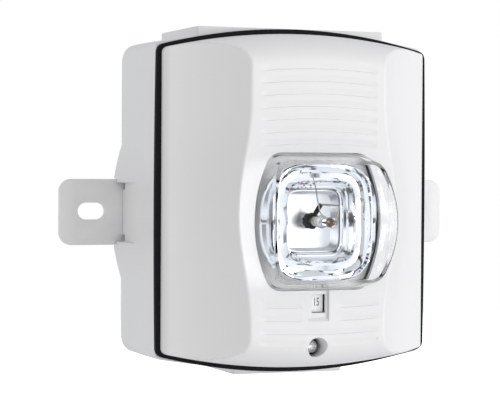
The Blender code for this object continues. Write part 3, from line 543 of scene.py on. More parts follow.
def bulged(spec, centre=(0.0, 0.0), steps=16, corner_steps=8):
    """A rounded rectangle whose sides and ends may bulge; spec is as for the lens outlines."""
    w_mid, w_end, h_mid, h_end, corner = spec

    def side(y):
        return w_mid - (w_mid - w_end) * (y / h_end) ** 2

    def end(x):
        return h_mid - (h_mid - h_end) * (x / w_end) ** 2

    quarter = []
    for i in range(steps + 1):
        y = i / steps * (h_end - corner)
        quarter.append(Vector((side(y), y)))
    start = quarter[-1]
    stop = Vector((w_end - corner, end(w_end - corner)))
    knee = Vector((side(h_end - corner * 0.2), h_end))
    for i in range(1, corner_steps):
        quarter.append(eased_corner(start, knee, stop, i / corner_steps))
    for i in range(steps + 1):
        x = (w_end - corner) * (1 - i / steps)
        quarter.append(Vector((x, end(x))))
    upper = quarter + [Vector((-p.x, p.y)) for p in reversed(quarter[:-1])]
    whole = upper + [Vector((p.x, -p.y)) for p in reversed(upper[1:-1])]
    return [(p.x + centre[0], p.y + centre[1]) for p in whole]


def at(outline, z):
    return [(x, y, z) for x, y in outline]


def grown(spec, amount):
    return tuple(value + amount for value in spec)


def blend(a, b, share):
    return tuple(p + (q - p) * share for p, q in zip(a, b))


def soft_min(a, b, width):
    """The smaller of two heights, rounded where they cross."""
    mix = max(0.0, min(1.0, 0.5 + (b - a) / (2 * width)))
    return b + (a - b) * mix - width * mix * (1 - mix)


# ---------------------------------------------------------------- front housing

def half_height(x):
    arch = MID_H - (MID_H - SIDE_H) * (x / HALF_W) ** 2
    past = max(0.0, abs(x) - (HALF_W - CORNER_R))
    return arch - CORNER_R + math.sqrt(max(0.0, CORNER_R ** 2 - past ** 2))


def panel_half_width(y):
    share = (y - PANEL_BULGE_Y) / PANEL_BULGE_SPAN
    if abs(share) >= 1.0:
        return PANEL_HALF_W
    return PANEL_HALF_W + PANEL_BULGE * math.cos(math.pi / 2 * share) ** 2


def wing_rise(x, y):
    """Rim fillet, then a hollow slope that steepens towards the panel and carries on past its edge."""
    inset = HALF_W - abs(x)
    slope = math.tan(FILLET_SLOPE)
    fillet_end = FILLET_R * (1 - math.sin(FILLET_SLOPE))
    if inset <= fillet_end:
        return LIP + math.sqrt(max(0.0, FILLET_R ** 2 - (FILLET_R - inset) ** 2))
    fillet_top = LIP + FILLET_R * math.cos(FILLET_SLOPE)
    run = HALF_W - panel_half_width(y) - fillet_end
    curve = (PANEL_RISE - fillet_top - slope * run) / run ** 2
    along = inset - fillet_end
    return fillet_top + slope * along + curve * along ** 2


def roll_rise(inset):
    """Quarter-ellipse roll of the top and bottom edges."""
    share = max(0.0, 1 - inset / ROLL)
    return LIP + (PANEL_RISE - LIP) * math.sqrt(1 - share ** 2)


def skin_height(x, y):
    inset = half_height(x) - abs(y)
    return RIM + soft_min(wing_rise(x, y), roll_rise(inset), EDGE_BLEND)


def eased(count):
    """Steps from 0 to 1 that start close together."""
    return [(i / count) ** 2.0 for i in range(count + 1)]


def housing_columns(y):
    """Places across the housing from the right rim to the left, close together where the skin bends."""
    fillet_end = FILLET_R * (1 - math.sin(FILLET_SLOPE))
    edge = HALF_W - panel_half_width(y)
    across = [fillet_end * s for s in eased(9)]
    across += [fillet_end + (edge - 1.5 - fillet_end) * i / 16 for i in range(1, 17)]
    across += [edge - 1.5 + 3.0 * i / 8 for i in range(1, 9)]
    half = [HALF_W - step for step in across]
    half += [half[-1] * (1 - i / 10) for i in range(1, 10)]
    return half + [0.0] + [-x for x in reversed(half)]


def housing_grid(sink=0.0, shrink=0.0):
    """Rows follow the arched outline; sink and shrink make the inner skin."""
    ends = [ROLL * s for s in eased(18)]
    rows = [(-1, inset) for inset in ends]
    rows += [(0, 2 * i / 44 - 1) for i in range(1, 44)]
    rows += [(1, inset) for inset in reversed(ends)]
    grid = []
    for side, amount in rows:
        rough_y = side * (MID_H - amount) if side else amount * (MID_H - ROLL)
        level = []
        for x in housing_columns(rough_y):
            tall = half_height(x)
            y = side * (tall - amount) if side else amount * (tall - ROLL)
            level.append((x * (1 - shrink / HALF_W), y * (1 - shrink / MID_H), skin_height(x, y) - sink))
        grid.append(level)
    return grid


def border(grid):
    rows, cols = len(grid), len(grid[0])
    path = [(0, c) for c in range(cols)]
    path += [(r, cols - 1) for r in range(1, rows)]
    path += [(rows - 1, c) for c in range(cols - 2, -1, -1)]
    path += [(r, 0) for r in range(rows - 2, 0, -1)]
    return path


def add_skin(bm, grid, foot):
    """A skin with a skirt down to the foot level; returns the border vertices at the foot."""
    verts = [[bm.verts.new(point) for point in level] for level in grid]
    for low, high in zip(verts, verts[1:]):
        for c in range(len(low) - 1):
            bm.faces.new((low[c], low[c + 1], high[c + 1], high[c]))
    path = border(grid)
    feet = [bm.verts.new((*grid[r][c][:2], foot)) for r, c in path]
    for i, (r, c) in enumerate(path):
        j = (i + 1) % len(path)
        bm.faces.new((verts[r][c], verts[path[j][0]][path[j][1]], feet[j], feet[i]))
    return feet


def housing_body():
    bm = bmesh.new()
    outer = add_skin(bm, housing_grid(), RIM)
    inner = add_skin(bm, housing_grid(2.4, SKIN), RIM)
    for i in range(len(outer)):
        j = (i + 1) % len(outer)
        bm.faces.new((outer[i], outer[j], inner[j], inner[i]))
    return bm


def screw_well():
    """The cup round the cover screw, trimmed to the underside of the curved skin."""
    envelope = bmesh.new()
    envelope.faces.new(add_skin(envelope, housing_grid(0.8, 0.3), RIM))
    core = rod(WELL_R + 1.6, (0, SCREW_Y, WELL_FLOOR - 2.0), (0, SCREW_Y, PANEL + 8), 48)
    return cut(core, envelope, "INTERSECT")


def sound_slot(x_low, x_high, y, depth=SLOT_DEPTH, bend=-1.0):
    """A shallow channel along the arch: a crisp lower wall, and a floor that rises to the upper edge."""
    rings = []
    count = max(8, int((x_high - x_low) / 1.2))
    for i in range(count + 1):
        x = x_low + (x_high - x_low) * i / count
        mid = y + bend * SLOT_ARCH * (x / SLOT_HALF_W) ** 2
        top = skin_height(x, mid)
        low, high = mid - SLOT_HEIGHT / 2, mid + SLOT_HEIGHT / 2
        sunk = top - max(0.02, depth * min(1.0, (x - x_low) / SLOT_FADE, (x_high - x) / SLOT_FADE))
        rings.append([(x, low - 0.5, top + 0.5), (x, low, top), (x, low + 0.30, sunk),
                      (x, high - 1.1, sunk), (x, high, top), (x, high + 1.5, top + 0.5)])
    return loft(rings)


def all_slots():
    """Rows above the lens, and rows below it that part for the window and for the screw."""
    slots = [sound_slot(-SLOT_HALF_W, SLOT_HALF_W, UPPER_SLOT_TOP - UPPER_SLOT_PITCH * i)
             for i in range(UPPER_SLOTS)]
    right_end = SLOT_HALF_W + 1.0
    for y in LOWER_SLOT_Y[:2]:
        slots.append(sound_slot(-SLOT_HALF_W, -7.2, y, bend=0.6))
        slots.append(sound_slot(7.8, right_end, y, bend=0.6))
    slots.append(sound_slot(-SLOT_HALF_W, right_end, LOWER_SLOT_Y[2], bend=0.6))
    slots.append(sound_slot(-SLOT_HALF_W, -6.2, LOWER_SLOT_Y[3], 0.35, 0.6))
    slots.append(sound_slot(6.2, right_end, LOWER_SLOT_Y[3], 0.35, 0.6))
    return merged(*slots)


def window_recess():
    """Recess round the number window: straight sides and a sloping foot."""
    low, high = -49.5, span("candela_window")[1][1] + 1.6
    depth = 1.2
    half = 4.7
    floor = PANEL - depth
    section = [(low, PANEL), (low + 1.5, floor), (high, floor), (high, PANEL + 3), (low - 1.6, PANEL + 3)]
    return loft([[(x, y, z) for y, z in section] for x in (-half, half)])


def build_housing():
    bm = cut(housing_body(), screw_well(), "UNION")
    opening = [at(bulged(grown(LENS_BASE, 0.3), (0, LENS_Y)), z) for z in (70.0, 90.0)]
    view = block(WINDOW_X, (-46.0, span("candela_slider")[1][1]), (70.0, 90.0))
    bore = lathe([(WELL_R, WELL_FLOOR), (WELL_R, PANEL - 1.6), (WELL_R + 0.5, PANEL),
                  (WELL_R + 3, PANEL + 4)], (0, SCREW_Y, 0))
    shank = rod(2.15, (0, SCREW_Y, 60), (0, SCREW_Y, 70))
    for tool in (loft(opening), window_recess(), view, bore, shank, all_slots()):
        bm = cut(bm, tool)
    piece("housing_shell", bm, "unit_white", "front_unit", ["front_housing"], angle=24.0)


# ---------------------------------------------------------------- lens and optics

def crowned(point):
    """Lower a point of the lens so that its face is arched from top to bottom."""
    x, y, z = point
    share = min(1.0, max(0.0, (z - PANEL) / (LENS_FRONT - PANEL)))
    return (x, y, z - LENS_SAG * share * ((y - LENS_Y) / LENS_FACE[2]) ** 2)


def lens_skin(inset):
    """Outlines and heights of one side of the lens wall, from the panel to the middle of the face."""
    rings = []
    rise = LENS_FRONT - PANEL
    for i in range(9):
        share = i / 8
        spec = grown(blend(LENS_BASE, LENS_FACE, share ** 1.3), -inset)
        rings.append((spec, PANEL + (rise - LENS_EDGE_R) * share))
    radius = max(0.4, LENS_EDGE_R - inset)
    crown = LENS_FRONT - inset
    for i in range(1, 7):
        turn = math.pi / 2 * i / 6
        drop = radius * (1 - math.sin(turn))
        rings.append((grown(LENS_FACE, -inset - radius * (1 - math.cos(turn))), crown - drop))
    edge = rings[-1][0]
    rings += [(blend(edge, LENS_HUB, i / 14), crown) for i in range(1, 14)]
    return rings + [(LENS_HUB, crown)]


def build_lens():
    outside = [(grown(LENS_BASE, 1.6), LENS_FOOT), (grown(LENS_BASE, 1.6), LENS_FOOT + 1.5),
               (LENS_BASE, LENS_FOOT + 1.5)] + lens_skin(0.0)
    inside = [(grown(LENS_BASE, -LENS_WALL), LENS_FOOT)] + lens_skin(LENS_WALL)
    rings = [[crowned(point) for point in at(bulged(spec, (0, LENS_Y)), z)]
             for spec, z in list(reversed(inside)) + outside]
    piece("lens_cover", loft(rings), "clear_lens", "front_unit", ["lens"], angle=40.0)


def polar_ring(half_w, half_h, power, height):
    """A squarish ring of points at even angles; height may vary with the angle."""
    ring = []
    for i in range(72):
        turn = 2 * math.pi * (i + 0.5) / 72
        c, s = math.cos(turn), math.sin(turn)
        reach = (abs(c / half_w) ** power + abs(s / half_h) ** power) ** (-1 / power)
        ring.append((reach * c, LENS_Y + reach * s, height(c, s)))
    return ring


def dish_height(rise, drop, step):
    """Height of the outer dish: lower at the sides, and lower again below the middle line."""
    def height(c, s):
        side = abs(c) ** 3
        return RIM + rise - drop * side - (step * side if s < 0 else 0.0)
    return height


def level_height(rise, swing=0.0, phase=0.0):
    """An even height, or one that swings with the angle so that the ring breaks into facets."""
    return lambda c, s: RIM + rise + swing * math.sin(FACETS * math.atan2(s, c) + phase)


def terraces(*rows):
    """Rings of a reflector; a row is (half width, half height, squareness, rise, swing, phase)."""
    return [polar_ring(*row[:3], level_height(*row[3:])) for row in rows]


def build_reflector():
    """Satin floor, terraced mirror well, and a bright dish of rounded-square channels round it."""
    floor = terraces((10.4, 11.4, 7, 17.2), (11.0, 12.0, 7, 18.0), (12.0, 13.0, 6.5, 24.2),
                     (11.4, 12.4, 6.5, 24.4), (10.4, 11.4, 7, 18.0), (9.8, 10.8, 7, 17.8))
    piece("reflector_floor", loft(floor), "bright_chrome", "front_unit", angle=30.0, mat=SATIN)
    front = terraces((12.0, 13.0, 6.5, 24.6), (12.7, 13.6, 6.2, 24.8), (13.2, 14.3, 6.0, 28.4),
                     (14.0, 15.2, 5.6, 28.8, 0.05, 0.8), (14.6, 16.0, 5.4, 32.4),
                     (15.2, 16.8, 5.2, 33.3, 0.08, 2.1), (16.4, 18.0, 5.0, 32.4, 0.10, 4.4),
                     (18.0, 19.8, 4.5, 32.2, 0.12, 0.4), (19.3, 21.2, 4.2, 33.6, 0.10, 3.0),
                     (20.3, 22.0, 4.0, 33.9, 0.08, 5.2), (21.2, 23.2, 3.9, 36.0, 0.08, 1.2),
                     (21.9, 23.6, 3.7, 36.1))
    rim = [polar_ring(22.8, 23.9, 3.2, dish_height(34.4, 2.6, 0.8)),
           polar_ring(24.6, 24.2, 2.8, dish_height(34.0, 3.2, 1.0)),
           polar_ring(25.4, 24.5, 2.7, dish_height(35.0, 3.0, 1.0)),
           polar_ring(25.7, 24.7, 2.7, dish_height(34.6, 3.0, 1.0))]
    back = terraces((24.6, 24.6, 4.0, 24.4), (24.6, 24.6, 4.0, 23.4), (17.0, 17.0, 5, 23.4))
    piece("reflector_dish", loft(front + rim + back, closed=True), "bright_chrome", "front_unit",
          ["reflector"], angle=20.0)
    ledge = [at(bulged(grown(LENS_BASE, reach), (0, LENS_Y)), z)
             for reach, z in ((0.5, 72.0), (0.5, 70.7), (-4.6, 70.7), (-4.6, 72.0))]
    piece("lens_ledge", loft(ledge, closed=True), "unit_white", "front_unit")


def build_flash_tube():
    x0, x1 = span("flash_tube")[0]
    base, tip = span("flash_tube")[2]
    radius = (x1 - x0) / 2
    axis = (middle((x0, x1)), LENS_Y, 0)
    dome = [(radius * math.cos(a), tip - 1.6 + 1.6 * math.sin(a))
            for a in (math.pi / 2 * i / 6 for i in range(6))]
    inner = [(max(0.25, r - 0.5), z - 0.4) for r, z in dome]
    glass = lathe([(radius - 0.5, base)] + inner + [(0.2, tip - 0.4), (0.2, tip)] + list(reversed(dome))
                  + [(radius, base)], axis, 32)
    piece("flash_tube_glass", glass, "tube_glass", "front_unit", ["flash_tube"])
    foot = lathe([(0.5, 56.0), (0.5, 68.0), (1.15, 68.3), (1.15, 74.5), (0.8, 75.0), (0.3, 75.4)], axis, 20)
    piece("cathode_button", foot, "electrode_metal", "front_unit", ["cathode"])
    head = lathe([(0.25, 87.6), (1.0, 88.2), (1.05, 91.6), (0.7, 92.2), (0.35, 92.4), (0.35, 93.6)],
                 axis, 20)
    piece("anode_button", head, "electrode_metal", "front_unit", mat=SCORCHED)
    lead_x = span("anode")[0][1] - 0.5
    lead_y = span("anode")[1][1] - 0.5
    crest = tip + 1.6
    lead = rounded_path([(0, LENS_Y, 92.4), (0, LENS_Y, crest), (lead_x, lead_y, crest),
                         (lead_x, lead_y, 73.6)], 1.2)
    piece("anode_lead", tube(lead, 0.36), "electrode_metal", "front_unit", ["anode"], angle=50.0)
    trigger = [(2.45 * math.sin(a), LENS_Y - 2.45 * math.cos(a), 78.0 + a * 0.35)
               for a in (3 * math.pi * i / 40 for i in range(41))]
    trigger += rounded_path([(-1.2, -4.2, 81.0), (-2.0, 0.4, 80.4), (-4.2, 6.0, 83.6), (-5.8, 10.8, 84.2)],
                            2.0)
    piece("trigger_lead", tube(trigger, 0.26, 8), "electrode_metal", "front_unit", ["trigger_wire"],
          angle=50.0)


def build_boot():
    """Ribbed rubber boot at the foot of the tube, and the beaded sleeve of the return lead."""
    base, top = span("tube_boot")[2]
    radius = (span("tube_boot")[0][1] - span("tube_boot")[0][0]) / 2
    axis = (0, LENS_Y, 0)
    profile = [(2.3, base), (radius * 0.96, base), (radius, base + 1.2), (radius * 0.93, top - 0.8),
               (radius * 0.80, top - 0.1), (2.5, top), (2.3, top - 0.3)]
    boot = lathe(profile, axis, 72, lobes=9, lobe_depth=0.06)
    bm = cut(boot, rod(2.25, (0, LENS_Y, base - 2), (0, LENS_Y, top + 2)))
    piece("boot_grommet", bm, "black_rubber", "front_unit", ["tube_boot"], angle=50.0)
    low, high = Vector((0.9, LENS_Y + 3.0, 70.6)), Vector((1.75, -1.2, 74.6))
    count = 49
    points = [low.lerp(high, i / (count - 1)) for i in range(count)]
    beads = [0.62 + 0.38 * abs(math.sin(math.pi * 7 * i / (count - 1))) for i in range(count)]
    piece("sleeve_beads", tube(points, 1.05, 16, beads), "black_rubber", "front_unit", ["lead_sleeve"],
          angle=50.0)


def build_optics():
    build_lens()
    build_reflector()
    build_flash_tube()
    build_boot()


# ---------------------------------------------------------------- number card and fasteners

def numeral(text, size, centre):
    """Flat digits facing out of the wall."""
    curve = bpy.data.curves.new("digits", "FONT")
    curve.body = text
    curve.size = size
    curve.align_x = "CENTER"
    curve.align_y = "CENTER"
    curve.extrude = 0.03
    curve.offset = 0.03
    bm = evaluated(link("digits", curve))
    bm.transform(Matrix.Translation(centre) @ Matrix.Diagonal((0.72, 1.25, 1.0, 1.0)))
    return bm


def build_card():
    x, y, z = span("candela_slider")
    card_back = z[1] - 1.0
    travel = joint_value("candela_slide", "range_m")[1] / MM
    plate = bevelled(block(x, y, (card_back, z[1])), 0.2)
    stem = bevelled(block((6.5, 9.5), (-43.0, -40.0), (z[0], card_back - 0.01)), 0.3)
    piece("number_card", merged(plate, stem), "label_white", "candela_slider", ["candela_slider"])
    for index, text in enumerate(("15", "30", "75", "110")):
        place = (middle(WINDOW_X) + travel * index / 3, middle(y) + 0.5, z[1] + 0.02)
        size = DIGIT_SIZE * 2 / max(len(text), 2.4)
        piece(f"number_{text}", numeral(text, size, place), "label_white", "candela_slider", mat=INK)
    # Painted shade: a black rubber frame in front of the card stands in for the shadow of the deep gap on
    # its right.
    foot, top = y[0] + 0.1, y[1] - 0.1
    mask = cut(block((-4.8, 4.8), (foot, top), (z[1] + 0.15, z[1] + 0.55)),
               block((WINDOW_X[0] - 0.7, PAINTED_SHADE_EDGE_X), (foot + 0.4, top + 1.0), (z[1], z[1] + 1.0)))
    piece("window_painted_shade", mask, "black_rubber", "front_unit")


def threads(radius, low, high, pitch=0.8):
    """Profile of a screw thread between two heights, crest by crest."""
    count = max(2, int((high - low) / pitch))
    step = (high - low) / count
    profile = []
    for i in range(count):
        profile.append((radius * 0.84, low + step * i))
        profile.append((radius, low + step * (i + 0.5)))
    return profile


def cross_cutter(width, z):
    """Tapered cross that cuts the recess of a screw head."""
    arm, slim = width / 2, width * 0.15
    loop = [(arm, -slim), (arm, slim), (slim, slim), (slim, arm), (-slim, arm), (-slim, slim),
            (-arm, slim), (-arm, -slim), (-slim, -slim), (-slim, -arm), (slim, -arm), (slim, -slim)]
    return loft([[(x * k, y * k, level) for x, y in loop] for k, level in ((0.72, z[0]), (1.0, z[1]))])


def screw_mesh(node, head_height, shank_r, out):
    """Domed cross-head screw in the place of a CAD screw; out is -1 when the head looks at the wall."""
    x, y, z = span(node)
    centre = (middle(x), middle(y))
    head_r = (x[1] - x[0]) / 2
    length = z[1] - z[0]
    dome = [(head_r * math.cos(a), length - head_height * 0.62 * (1 - math.sin(a)))
            for a in (math.radians(8 + 82 * i / 8) for i in range(8))]
    shoulder = length - head_height
    profile = [(shank_r * 0.55, 0.0)] + threads(shank_r, 0.5, shoulder - 0.3)
    profile += [(shank_r, shoulder), (head_r * 0.97, shoulder), (head_r, shoulder + 0.12)]
    profile += dome + [(0.05, length)]
    bm = lathe(profile, (0, 0, 0), 36)
    bm = cut(bm, cross_cutter(head_r * 1.45, (length - head_height * 0.62, length + 1.0)))
    turn = Matrix.Identity(4) if out > 0 else Matrix.Rotation(math.pi, 4, "X")
    bm.transform(Matrix.Translation((*centre, z[0] if out > 0 else z[1])) @ turn)
    return bm


def cross_head(name, node, body, head_height, shank_r, out=1, slot="zinc_steel"):
    piece(name, screw_mesh(node, head_height, shank_r, out), slot, body, [node])


def build_screws():
    for label in ("left", "right"):
        cross_head(f"strap_screw_{label}", f"flange_screw_{label}", "back_assembly", 2.2, SHANK_R)
    for i in range(1, 5):
        cross_head(f"plate_fixing_{i}", f"plate_screw_{i}", "back_assembly", 2.2, SHANK_R)
        cross_head(f"cover_fixing_{i}", f"cover_screw_{i}", "front_unit", 1.9, 1.3, -1)
        cross_head(f"terminal_clamp_{i}", f"terminal_screw_{i}", "back_assembly", 2.0, 1.4, slot="brass")
    cross_head("cover_bolt", "captive_screw", "captive_screw", 2.9, SHANK_R)


# ---------------------------------------------------------------- back box, gasket and flanges

def box_ring(z, share, inset=0.0):
    """Outline of the box; share runs from 0 at the wall to 1 at the front."""
    width = BOX_REAR_W + (BOX_FRONT_W - BOX_REAR_W) * share - inset
    side_h = BOX_REAR_SIDE_H + (BOX_FRONT_SIDE_H - BOX_REAR_SIDE_H) * share - inset
    return at(bulged((width, width, BOX_MID_H - inset, side_h, 7.5 - 5.0 * share), steps=12), z)


def boss(half_w, y, front):
    """Conduit boss that narrows from the wall to the front; y is its outer face."""
    low, high = sorted((y, math.copysign(BOX_REAR_SIDE_H - 9.0, y)))
    rings = [[(-w, low, z), (w, low, z), (w, high, z), (-w, high, z)] for w, z in zip(half_w, (0.0, front))]
    return bevelled(loft(rings), 0.7, 3)


def side_swell(side):
    """Swelling of the box beside a flange, notched so that the flange can pass."""
    rings = []
    for i in range(13):
        share = i / 12
        bulk = 1.0 + 4.6 * (1 - share) ** 0.9
        spec = (bulk, 0.8, SWELL_HALF_H, SWELL_HALF_H, 0.4)
        rings.append(at(bulged(spec, (side * (62.1 - 1.5 * share), FLANGE_Y), 14, 3), 0.3 + 33.0 * share))
    height = (FLANGE_Y - SWELL_NOTCH, FLANGE_Y + SWELL_NOTCH)
    return cut(loft(rings), block(beside(side, BOX_REAR_W, 78.0), height, (-2.0, 40.0)))


def add_conduit_entry(box, y):
    """Thickened collar, thread bore and knock-out neck behind the outer face at y."""
    sign = math.copysign(1.0, y)
    depth = middle(span("conduit_plug_top")[2])
    box = cut(box, rod(COLLAR_R, (0, sign * 66.0, depth), (0, y - sign, depth), 64), "UNION")
    face = abs(y)
    profile = [(CONDUIT_R, 68.2), (CONDUIT_R, face - 0.6), (CONDUIT_R + 0.7, face + 0.1),
               (CONDUIT_R + 1.0, face + 3.0)]
    box = cut(box, lathe(profile, (0, 0, depth), 64, -sign * math.pi / 2))
    return cut(box, rod(KNOCKOUT_R, (0, sign * 60.0, depth), (0, sign * 70.0, depth), 48))


def add_standoffs(box):
    for index in range(1, 5):
        x, y, _ = span(f"plate_screw_{index}")
        place = (middle(x), middle(y))
        box = cut(box, rod(STANDOFF_R, (*place, 2.0), (*place, STANDOFF_TOP)), "UNION")
        box = cut(box, rod(PILOT_R, (*place, 12.0), (*place, 34.0)))
    return box


def add_flange_seat(box, side):
    """Pad, pocket, relief slots and screw bore for the foot of one flange."""
    low, high = FLANGE_LOW, FLANGE_HIGH
    pad = block(beside(side, *SEAT_PAD_X), (low - 1.5, high + 1.5), (2.0, 6.0))
    pocket = block(beside(side, *SEAT_POCKET_X), (low - 0.3, high + 0.3), (-1.0, FLANGE_THICK + 0.3))
    box = cut(cut(box, pad, "UNION"), pocket)
    for edge in ((low + 1.9, low + 4.5), (high - 4.5, high - 1.9)):
        box = cut(box, block(beside(side, *RELIEF_X), edge, RELIEF_Z))
    place = (side * FLANGE_SCREW_X, FLANGE_Y)
    return cut(box, rod(PILOT_R, (*place, 1.0), (*place, 9.0)))


def build_back_box():
    front = BOX_Z[1]
    levels = [(0.0, 0.0, 0.9), (0.3, 0.0, 0.25), (0.9, 0.0, 0.0)]
    levels += [(z, (z / front) ** 1.1, 0.0) for z in (6.0, 12.0, 20.0, 28.0, 36.0)]
    levels += [(front - 0.4, 1.0, 0.0), (front, 1.0, 0.4)]
    box = loft([box_ring(*level) for level in levels])
    box = cut(box, boss(TOP_BOSS_W, BOX_Y[1], TOP_BOSS_FRONT), "UNION")
    box = cut(box, boss(BOTTOM_BOSS_W, BOX_Y[0], BOTTOM_BOSS_FRONT), "UNION")
    for side in (-1, 1):
        box = cut(box, side_swell(side), "UNION")
    inside = ((BOX_BACK, 0.06), (28.0, 0.6), (front, 1.0), (60.0, 1.0))
    box = cut(box, loft([box_ring(z, share, BOX_WALL) for z, share in inside]))
    box = add_conduit_entry(box, BOX_Y[1])
    box = add_conduit_entry(box, BOX_Y[0])
    box = add_standoffs(box)
    for side in (-1, 1):
        box = add_flange_seat(box, side)
    for y in (GROOVE_Y, -GROOVE_Y):
        box = cut(box, knockout_groove(y))
    piece("box_casting", box, "box_white", "back_assembly", ["back_box"], angle=28.0)


def knockout_groove(y):
    """Cutter for the outline of a knock-out in the back of the box."""
    inner, outer = GROOVE_R
    corners = [(inner, -1.0), (outer, -1.0), (outer, GROOVE_DEPTH), (inner, GROOVE_DEPTH)]
    return loft([[(radius * math.cos(a), y + radius * math.sin(a), height) for a in turns(64)]
                 for radius, height in corners], closed=True)


def build_gasket():
    """Soft gasket with a slight barrel to its outer edge."""
    back, front = span("housing_gasket")[2]
    half_w, half_h = span("housing_gasket")[0][1], span("housing_gasket")[1][1]
    outer = (half_w - 0.5, half_w - 1.05, half_h - 0.1, half_h - 8.45, 3.0)
    inner = (56.2, 56.2, 67.8, 60.6, 2.0)
    thick = front - back
    rings = []
    for i in range(9):
        turn = math.pi * (i / 8 - 0.5)
        swell = 0.1 - 0.3 * (1 - math.cos(turn)) ** 3
        height = middle((back, front)) + thick / 2 * math.sin(turn)
        rings.append(at(bulged(grown(outer, swell), steps=24), height))
    rings.append(at(bulged(inner, steps=24), front))
    rings.append(at(bulged(inner, steps=24), back))
    piece("gasket_ring", loft(rings, closed=True), "black_rubber", "back_assembly", ["housing_gasket"],
          angle=50.0)


def arc(centre_x, centre_y, radius, start, sweep, steps):
    """Points round part of a circle, from a start angle through a sweep, in degrees."""
    angles = [math.radians(start + sweep / steps * i) for i in range(steps + 1)]
    return [(centre_x + radius * math.cos(a), centre_y + radius * math.sin(a)) for a in angles]


def build_flange(side, label):
    corner, radius = FLANGE_CORNER_R, FLANGE_SLOT_R
    outline = [(FLANGE_FOOT, FLANGE_LOW), (FLANGE_REACH - corner, FLANGE_LOW)]
    outline += arc(FLANGE_REACH - corner, FLANGE_LOW + corner, corner, -90, 90, 12)
    outline += arc(FLANGE_REACH - corner, FLANGE_HIGH - corner, corner, 0, 90, 12)
    outline.append((FLANGE_FOOT, FLANGE_HIGH))
    slot = arc(FLANGE_SLOT_X[1] - radius, FLANGE_Y + 0.4, radius, -90, 180, 16)
    slot += arc(FLANGE_SLOT_X[0] + radius, FLANGE_Y + 0.4, radius, 90, 180, 16)
    strap = loft([[(side * x, y, z) for x, y in outline] for z in (0.0, FLANGE_THICK)])
    strap = cut(strap, loft([[(side * x, y, z) for x, y in slot] for z in (-2.0, FLANGE_THICK + 2.0)]))
    hole = (side * FLANGE_SCREW_X, FLANGE_Y)
    strap = cut(strap, rod(PILOT_R, (*hole, -2.0), (*hole, 8.0)))
    strap = bevelled(strap, 0.35)
    piece(f"strap_{label}", strap, "flange_paint", "back_assembly", [f"mounting_flange_{label}"],
          angle=40.0)


def build_plug(label, sign):
    """Conduit plug: a threaded disc with a chamfered rim and a hexagon socket."""
    x, y, z = span(f"conduit_plug_{label}")
    outer = max(abs(y[0]), abs(y[1]))
    inner = min(abs(y[0]), abs(y[1]))
    radius = (x[1] - x[0]) / 2
    centre = (0, 0, middle(z))
    tilt = -sign * math.pi / 2
    profile = [(radius * 0.9, inner)] + threads(radius, inner + 0.2, outer - 1.0, 1.1)
    profile += [(radius, outer - 0.7), (radius - 0.6, outer), (8.0, outer), (7.6, outer - 0.5),
                (0.2, outer - 0.5)]
    plug = lathe(profile, centre, 72, tilt)
    hexagon = [(6.4 * math.cos(a), 6.4 * math.sin(a)) for a in turns(6)]
    place = Matrix.Translation(centre) @ Matrix.Rotation(tilt, 4, "X")
    socket = loft([[place @ Vector((px, py, h)) for px, py in hexagon] for h in (outer - 3.6, outer + 3.0)])
    piece(f"conduit_stopper_{label}", cut(plug, socket), "plug_plastic", "back_assembly",
          [f"conduit_plug_{label}"], angle=40.0)


def build_wall_side():
    build_back_box()
    build_gasket()
    for side, label in ((-1, "left"), (1, "right")):
        build_flange(side, label)
    for label, sign in (("top", 1), ("bottom", -1)):
        build_plug(label, sign)


# ---------------------------------------------------------------- finishes on the CAD nodes

def dress_frame():
    """Give every carried-over CAD node the procedural finish of its record slot."""
    slots = {entry["node"]: entry["material_slot"] for entry in frame["record"]["subparts"]}
    for name, obj in frame["nodes"].items():
        obj.data.materials.clear()
        obj.data.materials.append(MATS[slots[name]])


# ---------------------------------------------------------------- stage, light and camera

AIM = Vector((-0.02017, -0.049, 0.00027))
AZIMUTH = 19.88
ELEVATION = 0.98
ROLL_ANGLE = 0.33
DISTANCE = 0.730
FOCAL = 123.76
AMBIENT_LEVEL = 0.895
AMBIENT_SLOPE = (-0.01, 0.06, -0.27)
KEY_POWER = 7.4
KEY_PLACE = (0.9, -1.1, 0.1)
KEY_SIZE = (0.8, 0.8)
FLOOR_LEVEL = -0.6
SOFTBOX_ROWS = [(0.0, 0.7), (0.20, 0.75), (0.23, 0.16), (0.27, 0.16), (0.30, 0.85), (0.45, 1.15),
                (0.66, 1.2), (0.69, 0.14), (0.73, 0.14), (0.76, 1.1), (1.0, 0.9)]
SOFTBOX_COLUMNS = [(0.0, 0.6), (0.10, 0.7), (0.13, 0.3), (0.16, 0.3), (0.19, 0.95), (0.5, 1.1),
                   (0.86, 1.15), (0.89, 0.4), (0.93, 0.4), (1.0, 0.9)]


def build_floor():
    """Plain pale floor, well below and behind the part."""
    mat, tree, shader = new_material("floor_white", (0.9, 0.9, 0.9), 0.9)
    vary_colour(tree, shader, noise(tree, 2.0), (0.9, 0.9, 0.9), 0.01)
    shader.inputs["Emission Color"].default_value = (1.0, 1.0, 1.0, 1.0)
    light = add_node(tree, "ShaderNodeLightPath").outputs
    feed(tree, shader.inputs["Emission Strength"], light["Is Camera Ray"])
    bm = bmesh.new()
    bmesh.ops.create_grid(bm, x_segments=1, y_segments=1, size=6.0)
    mesh = bpy.data.meshes.new("floor")
    bm.to_mesh(mesh)
    bm.free()
    mesh.materials.append(mat)
    floor = link("floor", mesh)
    floor.location.z = FLOOR_LEVEL
    floor.visible_glossy = False


def direction_level(tree, coords, weights, offset):
    """Brightness that changes evenly with direction."""
    slope = add_node(tree, "ShaderNodeVectorMath", coords, weights, operation="DOT_PRODUCT")
    return maths(tree, "ADD", slope.outputs["Value"], offset)


